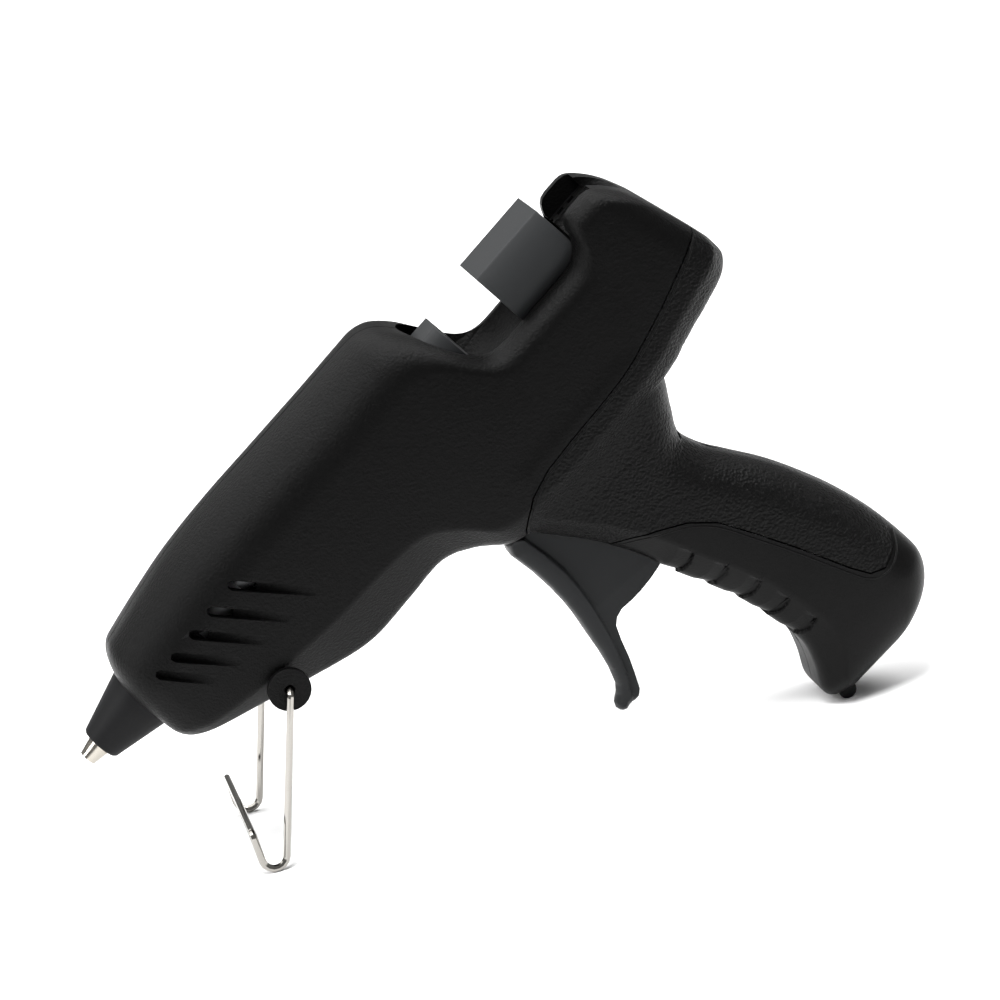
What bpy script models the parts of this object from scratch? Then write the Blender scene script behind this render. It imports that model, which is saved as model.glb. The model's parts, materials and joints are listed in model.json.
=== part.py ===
"""Hot glue gun for 11 mm sticks, standing nozzle down on its wire stand and the heel of its grip.

Every piece is modelled in the gun's own side view: u runs back along the barrel from the nozzle tip, v runs up
from the barrel's axis, and w runs out to the gun's left. The empty gun_frame then leans the gun onto the floor.
"""
import math

import bmesh
import bpy
from mathutils import Matrix, Vector

MM = 0.001

# Driving dimensions
GUN_LENGTH = 188.0 * MM
GRIP_DROP = 135.0 * MM
BODY_HALF_WIDTH = 17.0 * MM
GRIP_HALF_WIDTH = 14.2 * MM
WALL = 2.4 * MM
PARTING_GAP = 0.3 * MM
SEAT_GAP = 0.3 * MM
STICK_RADIUS = 5.6 * MM
STICK_PLAY = 0.4 * MM
CUT_OVERRUN = 2.0 * MM
RING_SIDES = 28
PIN_SIDES = 16
HEAD_SIDES = 12
SHANK_SIDES = 8
WELD = 0.005 * MM
KEEL_CORNER_SHARE = 0.55
ARC_REACH_SHARE = 0.95
TOP_CORNER_POINTS = 6
INNER_CORNER_POINTS = 4

# Where things lie along the barrel, as shares of the gun's length
NOZZLE_FACE_SHARE = 0.024
NOSE_FACE_SHARE = 0.107
SLEEVE_END_SHARE = 0.146
CHAMBER_BACK_SHARE = 0.489
BULKHEAD_SHARE = 0.617
COLLAR_BACK_SHARE = 0.695
CARRIAGE_FRONT_SHARE = 0.772
CARRIAGE_BACK_SHARE = 0.884
CHANNEL_BACK_SHARE = 0.890
SADDLE_SHARES = (0.205, 0.440)
RECESS_BACK_SHARE = 0.947
STICK_BORE_BACK_SHARE = 1.05
MELT_CONE_SHARE = 0.35

# Nozzle, sleeve and heating chamber
ORIFICE_RADIUS = 0.75 * MM
NOZZLE_TIP_RADIUS = 2.1 * MM
NOZZLE_ROOT_RADIUS = 3.4 * MM
NOZZLE_TAPER_LENGTH = 6.4 * MM
SLEEVE_FRONT_RADIUS = 4.9 * MM
SLEEVE_BACK_RADIUS = 8.8 * MM
SLEEVE_EDGE = 0.5 * MM
CHAMBER_RADIUS = 9.0 * MM
CHAMBER_SPIGOT_RADIUS = 6.0 * MM
HEATER_LENGTH = 32.0 * MM
HEATER_WIDTH = 10.0 * MM
HEATER_THICKNESS = 3.0 * MM
POCKET_FLOOR = 1.6 * MM
CLIP_WIDTH = 9.0 * MM
CLIP_THICKNESS = 0.8 * MM
FEED_SLEEVE_WALL = 2.2 * MM

# The feed carriage and the smaller front collar are arches with a flat top
ARCH_RADIUS = 12.0 * MM
ARCH_FLAT = 8.0 * MM
COLLAR_RADIUS = 8.5 * MM
COLLAR_FLAT = 6.9 * MM
COLLAR_FLANGE = 2.4 * MM
FLOOR_THICKNESS = 2.3 * MM
CLEVIS_EAR = 2.0 * MM
CLEVIS_FOOT_WIDTH = 2.6 * MM
CLEVIS_FOOT_THICKNESS = 1.6 * MM
LINK_HALF_WIDTH = 2.0 * MM
LINK_HEIGHT = 5.0 * MM
PIN_RADIUS = 1.5 * MM
PIN_CLEARANCE = 0.3 * MM
LINK_LIFT = 0.6 * MM
EAR_DROP_SHARE = 0.6
EAR_TOP_SHARE = 0.8
CLEVIS_SLOT_SHARES = (2.0, 1.2)

# Trigger
TRIGGER_PIVOT_SHARES = (0.612, -0.281)
TRIGGER_TRAVEL_DEG = 26.0
TRIGGER_ARM = 20.0 * MM
TRIGGER_WEB_HALF = 5.5 * MM
TRIGGER_FLANGE_HALF = 7.0 * MM
TRIGGER_ARM_HALF = 2.5 * MM
TRIGGER_WEB_RADIUS = 38.0 * MM
WEB_ARC_POINTS = 7
TRIGGER_HUB_RADIUS = 6.0 * MM
TRIGGER_SLOT_PLAY = 0.6 * MM
OPENING_PLAY_SHARE = 0.04
OPENING_MOUTH_SHARE = 1.12
OPENING_FRONT_SHARES = ((-0.30, 0.12), (-0.36, -0.10), (-0.36, -0.93))
OPENING_BACK_SHARES = ((0.30, -0.40), (0.22, 0.12))
OPENING_SWEEP_DEG = (-111.0, -27.0)
OPENING_ARC_POINTS = 8
PIVOT_PIN_RADIUS = 2.0 * MM
PIVOT_BOSS_WALL = 1.4 * MM
PIN_REACH_SHARE = 0.85
ARM_ROOT_SHARE = 1.6
TOE_WIDTH_SHARE = 0.62
TOE_TAPER_SHARES = (-0.52, -0.69)
SPRING_WIRE_RADIUS = 0.4 * MM
SPRING_TURNS = 3
SPRING_PITCH_SHARE = 3.2
SPRING_LEG = 8.0 * MM
TURN_POINTS = 8

# Wire stand
STAND_PIVOT_SHARES = (0.240, -0.150)
STAND_LEAN_DEG = 220.3
STAND_LEG = 40.5 * MM
STAND_FOOT_RADIUS = 3.0 * MM
STAND_FOOT_SWEEP_DEG = 160.0
STAND_FOOT_RISE = 7.4 * MM
STAND_WIRE_RADIUS = 0.9 * MM
STAND_BEND_RADIUS = 1.6 * MM
STAND_HOOK = 5.0 * MM
BEND_POINTS = 4
FOOT_POINTS = 8
BUTTON_RADIUS = 5.2 * MM
BUTTON_HOLE_SHARE = 0.60
BUTTON_SHANK_SHARE = 0.66
BUTTON_PROUD = 2.0 * MM
BUTTON_SHANK_RADIUS = 2.8 * MM

# Heel lug and screws
HEEL_SHARES = (0.689, -0.994)
HEEL_RADIUS = 2.3 * MM
HEEL_HALF_WIDTH = 6.5 * MM
HEEL_SCREW_HEAD_RADIUS = 1.9 * MM
SCREW_RADIUS = 1.3 * MM
SCREW_HEAD_RADIUS = 2.6 * MM
SCREW_HEAD_HEIGHT = 1.7 * MM
SCREW_RECESS = 1.2 * MM
SCREW_BOSS_RADIUS = 3.4 * MM
SCREW_HOLE_SHARE = 0.6
SCREW_LENGTH_SHARE = 1.4
HEEL_SCREW_SHARE = 1.6
DRIVE_WIDTH_SHARE = 0.2
DRIVE_LENGTH_SHARE = 0.7
DRIVE_DEPTH_SHARE = 0.4
HEEL_NECK_SHARES = (1.3, 3.4)

# Recess in the top of the tower, with pockets between the ribs that guide the stick
RECESS_HALF = 10.3 * MM
RECESS_FLOOR = -1.7 * MM
GUIDE_POCKET = 2.0 * MM
GUIDE_PITCH = 3.6 * MM
GUIDE_POCKET_COUNT = 3
GUIDE_POCKET_W = 8.0 * MM
GUIDE_POCKET_DEEP = 2.6 * MM

# Scale-like bands for the fingers, each from its start to its step down the front of the grip
FINGER_BAND_SHARES = ((-0.539, -0.582), (-0.619, -0.648), (-0.682, -0.710), (-0.742, -0.770), (-0.801, -0.833))
FINGER_BAND_DEPTH = 0.9 * MM

# Vents, from the upper end of each slot to its lower end, as shares of the gun's length and the grip's drop
VENT_UPPER_SHARES = ((0.295, 0.046), (0.254, 0.043), (0.218, 0.040), (0.182, 0.037), (0.153, 0.036))
VENT_LOWER_SHARES = ((0.359, -0.081), (0.311, -0.073), (0.270, -0.067), (0.231, -0.060), (0.195, -0.051))
VENT_HALF_HEIGHT = 1.2 * MM
VENT_DEEP = 3.4 * MM
VENT_SHALLOW = -0.3 * MM
VENT_END_POINTS = 4

# Each body station: top u, top v, bottom u, bottom v, half-width, top corner, keel half-width, keel height.
# u is a share of the gun's length and v of the grip's drop; the rest are shares of the body's half-width.
BODY_STATION_SHARES = (
    (0.102, 0.040, 0.102, -0.060, 0.41, 0.32, 0.32, 0.15),
    (0.106, 0.065, 0.104, -0.080, 0.65, 0.53, 0.47, 0.18),
    (0.115, 0.091, 0.112, -0.094, 0.80, 0.68, 0.59, 0.21),
    (0.129, 0.110, 0.127, -0.109, 0.89, 0.79, 0.65, 0.24),
    (0.150, 0.117, 0.150, -0.124, 0.95, 0.85, 0.68, 0.26),
    (0.202, 0.129, 0.202, -0.155, 0.99, 0.89, 0.65, 0.38),
    (0.266, 0.141, 0.266, -0.195, 1.00, 0.92, 0.59, 0.59),
    (0.346, 0.146, 0.343, -0.234, 1.00, 0.93, 0.53, 0.79),
    (0.436, 0.145, 0.415, -0.236, 1.00, 0.93, 0.53, 0.76),
    (0.521, 0.144, 0.479, -0.234, 1.00, 0.93, 0.56, 0.65),
    (0.564, 0.144, 0.519, -0.261, 1.00, 0.92, 0.65, 0.53),
    (0.596, 0.143, 0.553, -0.304, 1.00, 0.88, 0.71, 0.41),
    (0.622, 0.140, 0.590, -0.319, 1.00, 0.82, 0.74, 0.38),
    (0.644, 0.124, 0.622, -0.323, 1.00, 0.74, 0.74, 0.38),
    (0.663, 0.088, 0.649, -0.326, 1.00, 0.62, 0.74, 0.38),
    (0.676, 0.050, 0.670, -0.327, 1.00, 0.53, 0.74, 0.38),
    (0.693, 0.001, 0.691, -0.328, 1.00, 0.45, 0.74, 0.38),
    (0.709, -0.031, 0.713, -0.328, 1.00, 0.39, 0.74, 0.38),
    (0.732, -0.046, 0.734, -0.327, 1.00, 0.35, 0.74, 0.38),
    (0.777, -0.047, 0.777, -0.324, 1.00, 0.35, 0.74, 0.38),
    (0.851, -0.046, 0.856, -0.310, 1.00, 0.36, 0.74, 0.38),
    (0.871, -0.036, 0.880, -0.301, 1.00, 0.36, 0.74, 0.38),
    (0.884, -0.016, 0.896, -0.296, 1.00, 0.35, 0.74, 0.38),
    (0.893, 0.008, 0.910, -0.291, 1.00, 0.33, 0.74, 0.38),
    (0.903, 0.021, 0.926, -0.287, 1.00, 0.32, 0.74, 0.38),
    (0.922, 0.023, 0.947, -0.280, 1.00, 0.31, 0.74, 0.38),
    (0.943, 0.020, 0.970, -0.272, 0.99, 0.31, 0.71, 0.35),
    (0.959, -0.002, 0.986, -0.263, 0.94, 0.32, 0.65, 0.32),
    (0.972, -0.032, 1.000, -0.244, 0.85, 0.33, 0.56, 0.29),
    (0.982, -0.070, 1.002, -0.208, 0.68, 0.33, 0.47, 0.24),
)

# Each grip station: back u, back v, front u, front v, half-width, back corner, front half-width, front taper
GRIP_STATION_SHARES = (
    (0.840, -0.222, 0.596, -0.222, 0.99, 0.70, 0.63, 0.42),
    (0.842, -0.307, 0.572, -0.300, 0.99, 0.74, 0.63, 0.42),
    (0.818, -0.367, 0.593, -0.356, 0.96, 0.77, 0.63, 0.42),
    (0.797, -0.419, 0.618, -0.415, 0.93, 0.81, 0.63, 0.42),
    (0.803, -0.474, 0.635, -0.467, 0.92, 0.81, 0.60, 0.46),
    (0.822, -0.530, 0.649, -0.522, 0.92, 0.81, 0.56, 0.49),
    (0.844, -0.591, 0.658, -0.578, 0.92, 0.81, 0.56, 0.53),
    (0.862, -0.658, 0.672, -0.637, 0.93, 0.81, 0.56, 0.56),
    (0.877, -0.730, 0.687, -0.711, 0.95, 0.81, 0.56, 0.56),
    (0.887, -0.807, 0.695, -0.785, 0.98, 0.81, 0.60, 0.56),
    (0.890, -0.874, 0.698, -0.856, 1.00, 0.81, 0.63, 0.56),
    (0.887, -0.924, 0.686, -0.907, 0.99, 0.77, 0.63, 0.53),
    (0.867, -0.963, 0.668, -0.952, 0.90, 0.70, 0.60, 0.46),
    (0.832, -0.990, 0.670, -0.979, 0.73, 0.56, 0.49, 0.35),
    (0.797, -1.004, 0.690, -0.997, 0.46, 0.35, 0.32, 0.21),
)

# The two seams that part the shells on each side, in shares of the gun's length and the grip's drop
SIDE_SEAM_SHARES = (
    (0.559, -0.459), (0.567, -0.326), (0.578, -0.296), (0.595, -0.276), (0.616, -0.259), (0.653, -0.246),
    (0.701, -0.242), (0.759, -0.240), (0.798, -0.237), (0.827, -0.231), (0.898, -0.206), (0.954, -0.181),
    (1.043, -0.144),
)
PAD_SEAM_SHARES = (
    (0.532, -0.448), (0.636, -0.449), (0.659, -0.465), (0.684, -0.486), (0.717, -0.519), (0.743, -0.563),
    (0.765, -0.637), (0.786, -0.713), (0.810, -0.810), (0.822, -0.847), (0.840, -0.862), (0.865, -0.855),
    (0.883, -0.834), (0.957, -0.741),
)
OUTSIDE_SHARE = 0.30

# Trigger lever, front edge from the top down round the foot, then back edge from the foot up
LEVER_FRONT_SHARES = (
    (0.556, -0.316), (0.544, -0.320), (0.538, -0.338), (0.540, -0.387), (0.539, -0.433), (0.536, -0.474),
    (0.531, -0.513), (0.523, -0.555), (0.516, -0.595), (0.508, -0.630), (0.498, -0.660), (0.488, -0.674),
    (0.478, -0.682), (0.474, -0.692), (0.475, -0.702), (0.482, -0.709), (0.491, -0.706),
)
LEVER_BACK_SHARES = (
    (0.498, -0.695), (0.506, -0.678), (0.518, -0.652), (0.531, -0.612), (0.543, -0.570), (0.552, -0.531),
    (0.559, -0.497), (0.565, -0.460), (0.569, -0.421), (0.569, -0.377), (0.566, -0.326),
)
WEB_TAIL_SHARES = (
    (0.578, -0.558), (0.566, -0.562), (0.557, -0.572), (0.547, -0.599), (0.537, -0.632), (0.526, -0.662),
    (0.514, -0.692), (0.506, -0.701), (0.495, -0.705),
)
WEB_INNER_SHARES = ((0.640, -0.330), (0.668, -0.440), (0.682, -0.545))

# Screws through the shells, each with the share of the body's half-width where its boss meets the wall
BODY_SCREW_SHARES = ((0.168, -0.104, 0.86), (0.505, 0.106, 0.70), (0.500, -0.180, 0.92), (0.378, -0.185, 0.80))
HANDLE_SCREW_SHARES = ((0.776, -0.370, 0.70), (0.925, -0.225, 0.76))
PAD_SCREW_SHARES = ((0.745, -0.800, 0.70),)


def at(share_u, share_v, w=0.0):
    """A place in the side view, from its shares, as a point of the gun's frame."""
    return Vector((share_u * GUN_LENGTH, -w, share_v * GRIP_DROP))


def gun_point(u, v, w=0.0):
    """A place in the side view, from lengths."""
    return Vector((u, -w, v))


# Places and sizes worked out from the driving dimensions
STICK_BORE = STICK_RADIUS + STICK_PLAY
CHANNEL_RADIUS = ARCH_RADIUS + SEAT_GAP
CHANNEL_FRONT = BULKHEAD_SHARE * GUN_LENGTH + WALL - SEAT_GAP
FLOOR_BOTTOM = -CHANNEL_RADIUS - FLOOR_THICKNESS
COLLAR_FRONT = CHANNEL_FRONT + SEAT_GAP
PIVOT = at(*TRIGGER_PIVOT_SHARES)
TRAVEL = math.radians(TRIGGER_TRAVEL_DEG)
ARM_LEAN = TRAVEL / 2.0
ARM_TIP = PIVOT + gun_point(TRIGGER_ARM * math.sin(ARM_LEAN), TRIGGER_ARM * math.cos(ARM_LEAN))
CARRIAGE_STROKE = TRIGGER_ARM * TRAVEL
CARRIAGE_FRONT = CARRIAGE_FRONT_SHARE * GUN_LENGTH
CARRIAGE_BACK = CARRIAGE_BACK_SHARE * GUN_LENGTH
CARRIAGE_PIN = Vector(((CARRIAGE_FRONT + CARRIAGE_BACK) / 2.0, 0.0, ARM_TIP.z))
OPENING_HALF = TRIGGER_WEB_HALF + TRIGGER_SLOT_PLAY
PIVOT_PIN_REACH = PIN_REACH_SHARE * BODY_HALF_WIDTH
HEEL = at(*HEEL_SHARES)
HEEL_HEAD_W = HEEL_HALF_WIDTH + SCREW_HEAD_HEIGHT / 2.0 - SEAT_GAP
SPRING_RADIUS = PIVOT_PIN_RADIUS + PIVOT_BOSS_WALL + SPRING_WIRE_RADIUS + SEAT_GAP
SPRING_PITCH = SPRING_PITCH_SHARE * SPRING_WIRE_RADIUS
SPRING_START_W = OPENING_HALF + SEAT_GAP
STAND_PIVOT = at(*STAND_PIVOT_SHARES)
STAND_W = BODY_HALF_WIDTH + BUTTON_PROUD + SEAT_GAP + STAND_WIRE_RADIUS
SLEEVE_END = SLEEVE_END_SHARE * GUN_LENGTH
CHAMBER_BACK = CHAMBER_BACK_SHARE * GUN_LENGTH
BULKHEAD_FRONT = BULKHEAD_SHARE * GUN_LENGTH
SCREW_PLACE_SHARES = BODY_SCREW_SHARES + HANDLE_SCREW_SHARES + PAD_SCREW_SHARES


# Objects and meshes

def clear_scene():
    for old in list(bpy.data.objects):
        bpy.data.objects.remove(old, do_unlink=True)


def new_collection(name):
    group = bpy.data.collections.new(name)
    bpy.context.scene.collection.children.link(group)
    return group


def make_material(name, color, roughness, metallic=0.0):
    material = bpy.data.materials.new(name)
    material.use_nodes = True
    shader = material.node_tree.nodes["Principled BSDF"]
    shader.inputs["Base Color"].default_value = (*color, 1.0)
    shader.inputs["Roughness"].default_value = roughness
    shader.inputs["Metallic"].default_value = metallic
    return material


def mesh_object(name, mesh, group):
    made = bpy.data.objects.new(name, mesh)
    group.objects.link(made)
    return made


def from_bmesh(name, form, group):
    bmesh.ops.recalc_face_normals(form, faces=form.faces)
    mesh = bpy.data.meshes.new(name)
    form.to_mesh(mesh)
    form.free()
    return mesh_object(name, mesh, group)


def loft(name, rings, group):
    """A closed solid through rings that all have the same number of points."""
    form = bmesh.new()
    rows = [[form.verts.new(point) for point in ring] for ring in rings]
    count = len(rows[0])
    for near, far in zip(rows, rows[1:]):
        for i in range(count):
            j = (i + 1) % count
            form.faces.new((near[i], near[j], far[j], far[i]))
    form.faces.new(rows[0])
    form.faces.new(list(reversed(rows[-1])))
    return from_bmesh(name, form, group)


def closed_mesh(source, name, group):
    """The evaluated mesh of a curve or a modified object as an object of its own, with its seams welded."""
    bpy.context.view_layer.update()
    graph = bpy.context.evaluated_depsgraph_get()
    mesh = bpy.data.meshes.new_from_object(source.evaluated_get(graph))
    mesh.transform(source.matrix_world)
    bpy.data.objects.remove(source, do_unlink=True)
    form = bmesh.new()
    form.from_mesh(mesh)
    bmesh.ops.remove_doubles(form, verts=form.verts, dist=WELD)
    return from_bmesh(name, form, group)


def flat_curve(name, outlines, thickness, group):
    """Flat closed outlines of (x, y) pairs, filled on both faces; an outline inside another is a hole."""
    path = bpy.data.curves.new(name, "CURVE")
    path.dimensions = "2D"
    path.fill_mode = "BOTH"
    path.extrude = thickness / 2.0
    for outline in outlines:
        spline = path.splines.new("POLY")
        spline.use_cyclic_u = True
        spline.points.add(len(outline) - 1)
        for control, (x, y) in zip(spline.points, outline):
            control.co = (x, y, 0.0, 1.0)
    curve = bpy.data.objects.new(name + "_outline", path)
    group.objects.link(curve)
    return curve


def plate(name, outline, w_low, w_high, group):
    """A flat outline of the side view, given thickness across the gun."""
    curve = flat_curve(name, [[(point.x, point.z) for point in outline]], w_high - w_low, group)
    curve.rotation_euler = (math.pi / 2.0, 0.0, 0.0)
    curve.location = (0.0, -(w_low + w_high) / 2.0, 0.0)
    return closed_mesh(curve, name, group)


def barrel_prism(name, outlines, front, back, group):
    """Outlines seen along the barrel, given length along it."""
    curve = flat_curve(name, outlines, back - front, group)
    curve.rotation_euler = (math.pi / 2.0, 0.0, math.pi / 2.0)
    curve.location = ((front + back) / 2.0, 0.0, 0.0)
    return closed_mesh(curve, name, group)


def turned(name, profile, group, sides=RING_SIDES):
    """A turned piece on the barrel's axis: a closed profile of (u, radius) with a Screw modifier."""
    mesh = bpy.data.meshes.new(name)
    points = [(u, 0.0, radius) for u, radius in profile]
    mesh.from_pydata(points, [(i, (i + 1) % len(points)) for i in range(len(points))], [])
    lathe = mesh_object(name + "_profile", mesh, group)
    sweep = lathe.modifiers.new("sweep", "SCREW")
    sweep.axis = "X"
    sweep.steps = sides
    sweep.render_steps = sides
    sweep.use_merge_vertices = True
    sweep.merge_threshold = WELD
    return closed_mesh(lathe, name, group)


def bar(name, start, end, radius, group, sides=RING_SIDES):
    """A round bar between two points of the gun's frame."""
    form = bmesh.new()
    along = end - start
    turn = along.to_track_quat("Z", "Y").to_matrix().to_4x4()
    bmesh.ops.create_cone(
        form, cap_ends=True, segments=sides, radius1=radius, radius2=radius, depth=along.length,
        matrix=Matrix.Translation((start + end) / 2.0) @ turn,
    )
    return from_bmesh(name, form, group)


def cross_bar(name, center, radius, w_low, w_high, group, sides=RING_SIDES):
    """A round bar across the gun, such as a pin or a boss."""
    start = Vector((center.x, -w_low, center.z))
    end = Vector((center.x, -w_high, center.z))
    return bar(name, start, end, radius, group, sides)


def box(name, u_low, u_high, v_low, v_high, w_low, w_high, group):
    form = bmesh.new()
    size = Matrix.Diagonal((u_high - u_low, w_high - w_low, v_high - v_low, 1.0))
    middle = gun_point((u_low + u_high) / 2.0, (v_low + v_high) / 2.0, (w_low + w_high) / 2.0)
    bmesh.ops.create_cube(form, size=1.0, matrix=Matrix.Translation(middle) @ size)
    return from_bmesh(name, form, group)


def combine(target, tool, operation, keep_tool=False):
    """Apply one Boolean to the target's mesh."""
    modifier = target.modifiers.new("cut", "BOOLEAN")
    modifier.operation = operation
    modifier.solver = "EXACT"
    modifier.object = tool
    bpy.context.view_layer.update()
    graph = bpy.context.evaluated_depsgraph_get()
    result = bpy.data.meshes.new_from_object(target.evaluated_get(graph))
    target.modifiers.clear()
    target.data = result
    if not keep_tool:
        bpy.data.objects.remove(tool, do_unlink=True)
    return target


def copy_of(source, name, group):
    made = bpy.data.objects.new(name, source.data.copy())
    group.objects.link(made)
    return made


def cleaned(target):
    form = bmesh.new()
    form.from_mesh(target.data)
    bmesh.ops.remove_doubles(form, verts=form.verts, dist=0.02 * MM)
    bmesh.ops.dissolve_degenerate(form, edges=form.edges, dist=0.01 * MM)
    form.to_mesh(target.data)
    form.free()
    return target


def finish(target, name, material, frame, sharp_deg=35.0):
    target.name = name
    target.data.name = name
    target.data.materials.clear()
    target.data.materials.append(material)
    target.data.shade_smooth()
    target.data.set_sharp_from_angle(angle=math.radians(sharp_deg))
    target.parent = frame
    return target


# Sections of the body and the grip

def rounded_corner(corner, before, after, radius, count):
    """Points of an arc of the given radius that replaces a corner of a flat outline of (s, w) pairs."""
    back = (before - corner).normalized()
    ahead = (after - corner).normalized()
    half = back.angle(ahead) / 2.0
    reach = radius / math.tan(half)
    reach = min(reach, (before - corner).length * ARC_REACH_SHARE, (after - corner).length * ARC_REACH_SHARE)
    true_radius = reach * math.tan(half)
    center = corner + (back + ahead).normalized() * (true_radius / math.sin(half))
    first = corner + back * reach - center
    last = corner + ahead * reach - center
    sweep = first.angle(last)
    points = []
    for i in range(count):
        turn = sweep * i / (count - 1)
        blend = first * math.sin(sweep - turn) + last * math.sin(turn)
        points.append(center + blend / math.sin(sweep))
    return points


def section(top, bottom, half_width, top_corner, keel_half, keel_height, corner_points):
    """A closed ring in the plane of top, bottom and the gun's width, from flat-sided to round by its corners."""
    height = (bottom - top).length
    down = (bottom - top).normalized()
    corners = [
        Vector((0.0, 0.0)), Vector((0.0, half_width)), Vector((height - keel_height, half_width)),
        Vector((height, keel_half)), Vector((height, 0.0)),
    ]
    keel_corner = keel_half * KEEL_CORNER_SHARE
    side = [corners[0]]
    side += rounded_corner(corners[1], corners[0], corners[2], top_corner, corner_points)
    side += rounded_corner(corners[2], corners[1], corners[3], keel_corner / 2.0, 2)
    side += rounded_corner(corners[3], corners[2], corners[4], keel_corner, 3)
    side.append(corners[4])
    ring = [top + down * point.x + Vector((0.0, -point.y, 0.0)) for point in side]
    ring += [top + down * point.x + Vector((0.0, point.y, 0.0)) for point in reversed(side[1:-1])]
    return ring


def stations(table, half_width, inset=0.0, first=0, last=None, step=1):
    """Rings of a table of stations, drawn in by an even inset."""
    rings = []
    for row in table[first:last:step]:
        top = at(row[0], row[1])
        bottom = at(row[2], row[3])
        down = (bottom - top).normalized()
        top = top + down * inset
        bottom = bottom - down * inset
        width, corner, keel, rise = (value * half_width for value in row[4:])
        keel = max(keel - inset, WALL)
        corner = max(corner - inset, WALL)
        points = TOP_CORNER_POINTS if inset < WALL else INNER_CORNER_POINTS
        rings.append(section(top, bottom, width - inset, corner, keel, rise, points))
    return rings


def region(name, points, group):
    reach = 2.0 * BODY_HALF_WIDTH
    return plate(name, points, -reach, reach, group)


def seam(shares, du, dv):
    shift = gun_point(du, dv)
    return [at(u, v) + shift for u, v in shares]


def body_region(group):
    half_gap = PARTING_GAP / 2.0
    edge = seam(SIDE_SEAM_SHARES, -half_gap, half_gap)
    low = SIDE_SEAM_SHARES[0][1]
    out = [at(1.0 + OUTSIDE_SHARE, OUTSIDE_SHARE), at(-OUTSIDE_SHARE, OUTSIDE_SHARE), at(-OUTSIDE_SHARE, low)]
    return region("body_region", edge + out, group)


def handle_region(group):
    half_gap = PARTING_GAP / 2.0
    upper = seam(SIDE_SEAM_SHARES, half_gap, -half_gap)
    lower = seam(PAD_SEAM_SHARES, half_gap, half_gap)
    lower[0].x = upper[0].x
    return region("handle_region", upper[1:] + list(reversed(lower)), group)


def pad_region(group):
    half_gap = PARTING_GAP / 2.0
    edge = seam(PAD_SEAM_SHARES, -half_gap, -half_gap)
    low = -1.0 - OUTSIDE_SHARE
    return region("pad_region", edge + [at(1.0, low), at(PAD_SEAM_SHARES[0][0], low)], group)


# The hollow body that every shell is cut from

def vent_cutter(upper, lower, side, group):
    """A slanted slot with round ends: it breaks through the wall at its upper end and fades out at its lower end."""
    start = at(*upper)
    end = at(*lower)
    along = (end - start).normalized()
    across = Vector((-along.z, 0.0, along.x))
    outer = BODY_HALF_WIDTH + CUT_OVERRUN
    form = bmesh.new()
    corners = []
    for center, way, floor in ((start, -1.0, BODY_HALF_WIDTH - VENT_DEEP), (end, 1.0, BODY_HALF_WIDTH - VENT_SHALLOW)):
        for i in range(VENT_END_POINTS):
            turn = math.pi * i / (VENT_END_POINTS - 1)
            rim = center + (along * (way * math.sin(turn)) + across * math.cos(turn)) * VENT_HALF_HEIGHT
            for w in (floor, outer):
                corners.append(form.verts.new(rim + Vector((0.0, -side * w, 0.0))))
    bmesh.ops.convex_hull(form, input=corners)
    return from_bmesh("vent", form, group)


def grip_front(share_v):
    """The front edge of the grip at a height, with the half-width and the bevel of the section there."""
    for high, low in zip(GRIP_STATION_SHARES, GRIP_STATION_SHARES[1:]):
        if low[3] <= share_v:
            break
    part = (share_v - high[3]) / (low[3] - high[3])
    u, front_half, bevel = (high[i] + (low[i] - high[i]) * part for i in (2, 6, 7))
    half_width = high[4] * GRIP_HALF_WIDTH
    return at(u, share_v), half_width - front_half * GRIP_HALF_WIDTH, front_half * GRIP_HALF_WIDTH, bevel * GRIP_HALF_WIDTH


def finger_band_cutter(start_share, end_share, side, group):
    """A ramp along the bevel at the front of the grip, level with it at its start and sunk at its end."""
    start, bevel_w, front_half, bevel = grip_front(start_share)
    end = grip_front(end_share)[0]
    along = (end - start).normalized()
    back = Vector((-along.z, 0.0, along.x))
    out = Vector((0.0, -side, 0.0))
    slope = (back * bevel + out * bevel_w).normalized()
    normal = (out * bevel - back * bevel_w).normalized()
    edge = out * front_half
    form = bmesh.new()
    corners = []
    for place, depth in ((start, 0.0), (end, FINGER_BAND_DEPTH)):
        for reach in (-bevel, 2.0 * bevel):
            for height in (-depth, 2.0 * WALL):
                corners.append(form.verts.new(place + edge + slope * reach + normal * height))
    bmesh.ops.convex_hull(form, input=corners)
    return from_bmesh("finger_band", form, group)


def hollow_body(group):
    outer = loft("outer", stations(BODY_STATION_SHARES, BODY_HALF_WIDTH), group)
    grip = loft("grip_outer", stations(GRIP_STATION_SHARES, GRIP_HALF_WIDTH), group)
    combine(outer, grip, "UNION")
    inner = loft("inner", stations(BODY_STATION_SHARES, BODY_HALF_WIDTH, WALL, 4, -3, 2), group)
    reach = 2.0 * BODY_HALF_WIDTH
    channel_block = box("channel_block", CHANNEL_FRONT - WALL / 2.0, 2.0 * GUN_LENGTH, FLOOR_BOTTOM, reach,
                        -reach, reach, group)
    combine(inner, channel_block, "DIFFERENCE")
    grip_inner = loft("grip_inner", stations(GRIP_STATION_SHARES, GRIP_HALF_WIDTH, WALL, 1, -2, 2), group)
    combine(inner, grip_inner, "UNION")
    combine(outer, inner, "DIFFERENCE")
    spring_end = SPRING_START_W + (SPRING_TURNS + 1) * SPRING_PITCH
    spring_room = cross_bar("spring_room", PIVOT, SPRING_RADIUS + SPRING_WIRE_RADIUS + SEAT_GAP, TRIGGER_WEB_HALF,
                            spring_end, group, PIN_SIDES)
    return combine(outer, spring_room, "DIFFERENCE")


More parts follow.
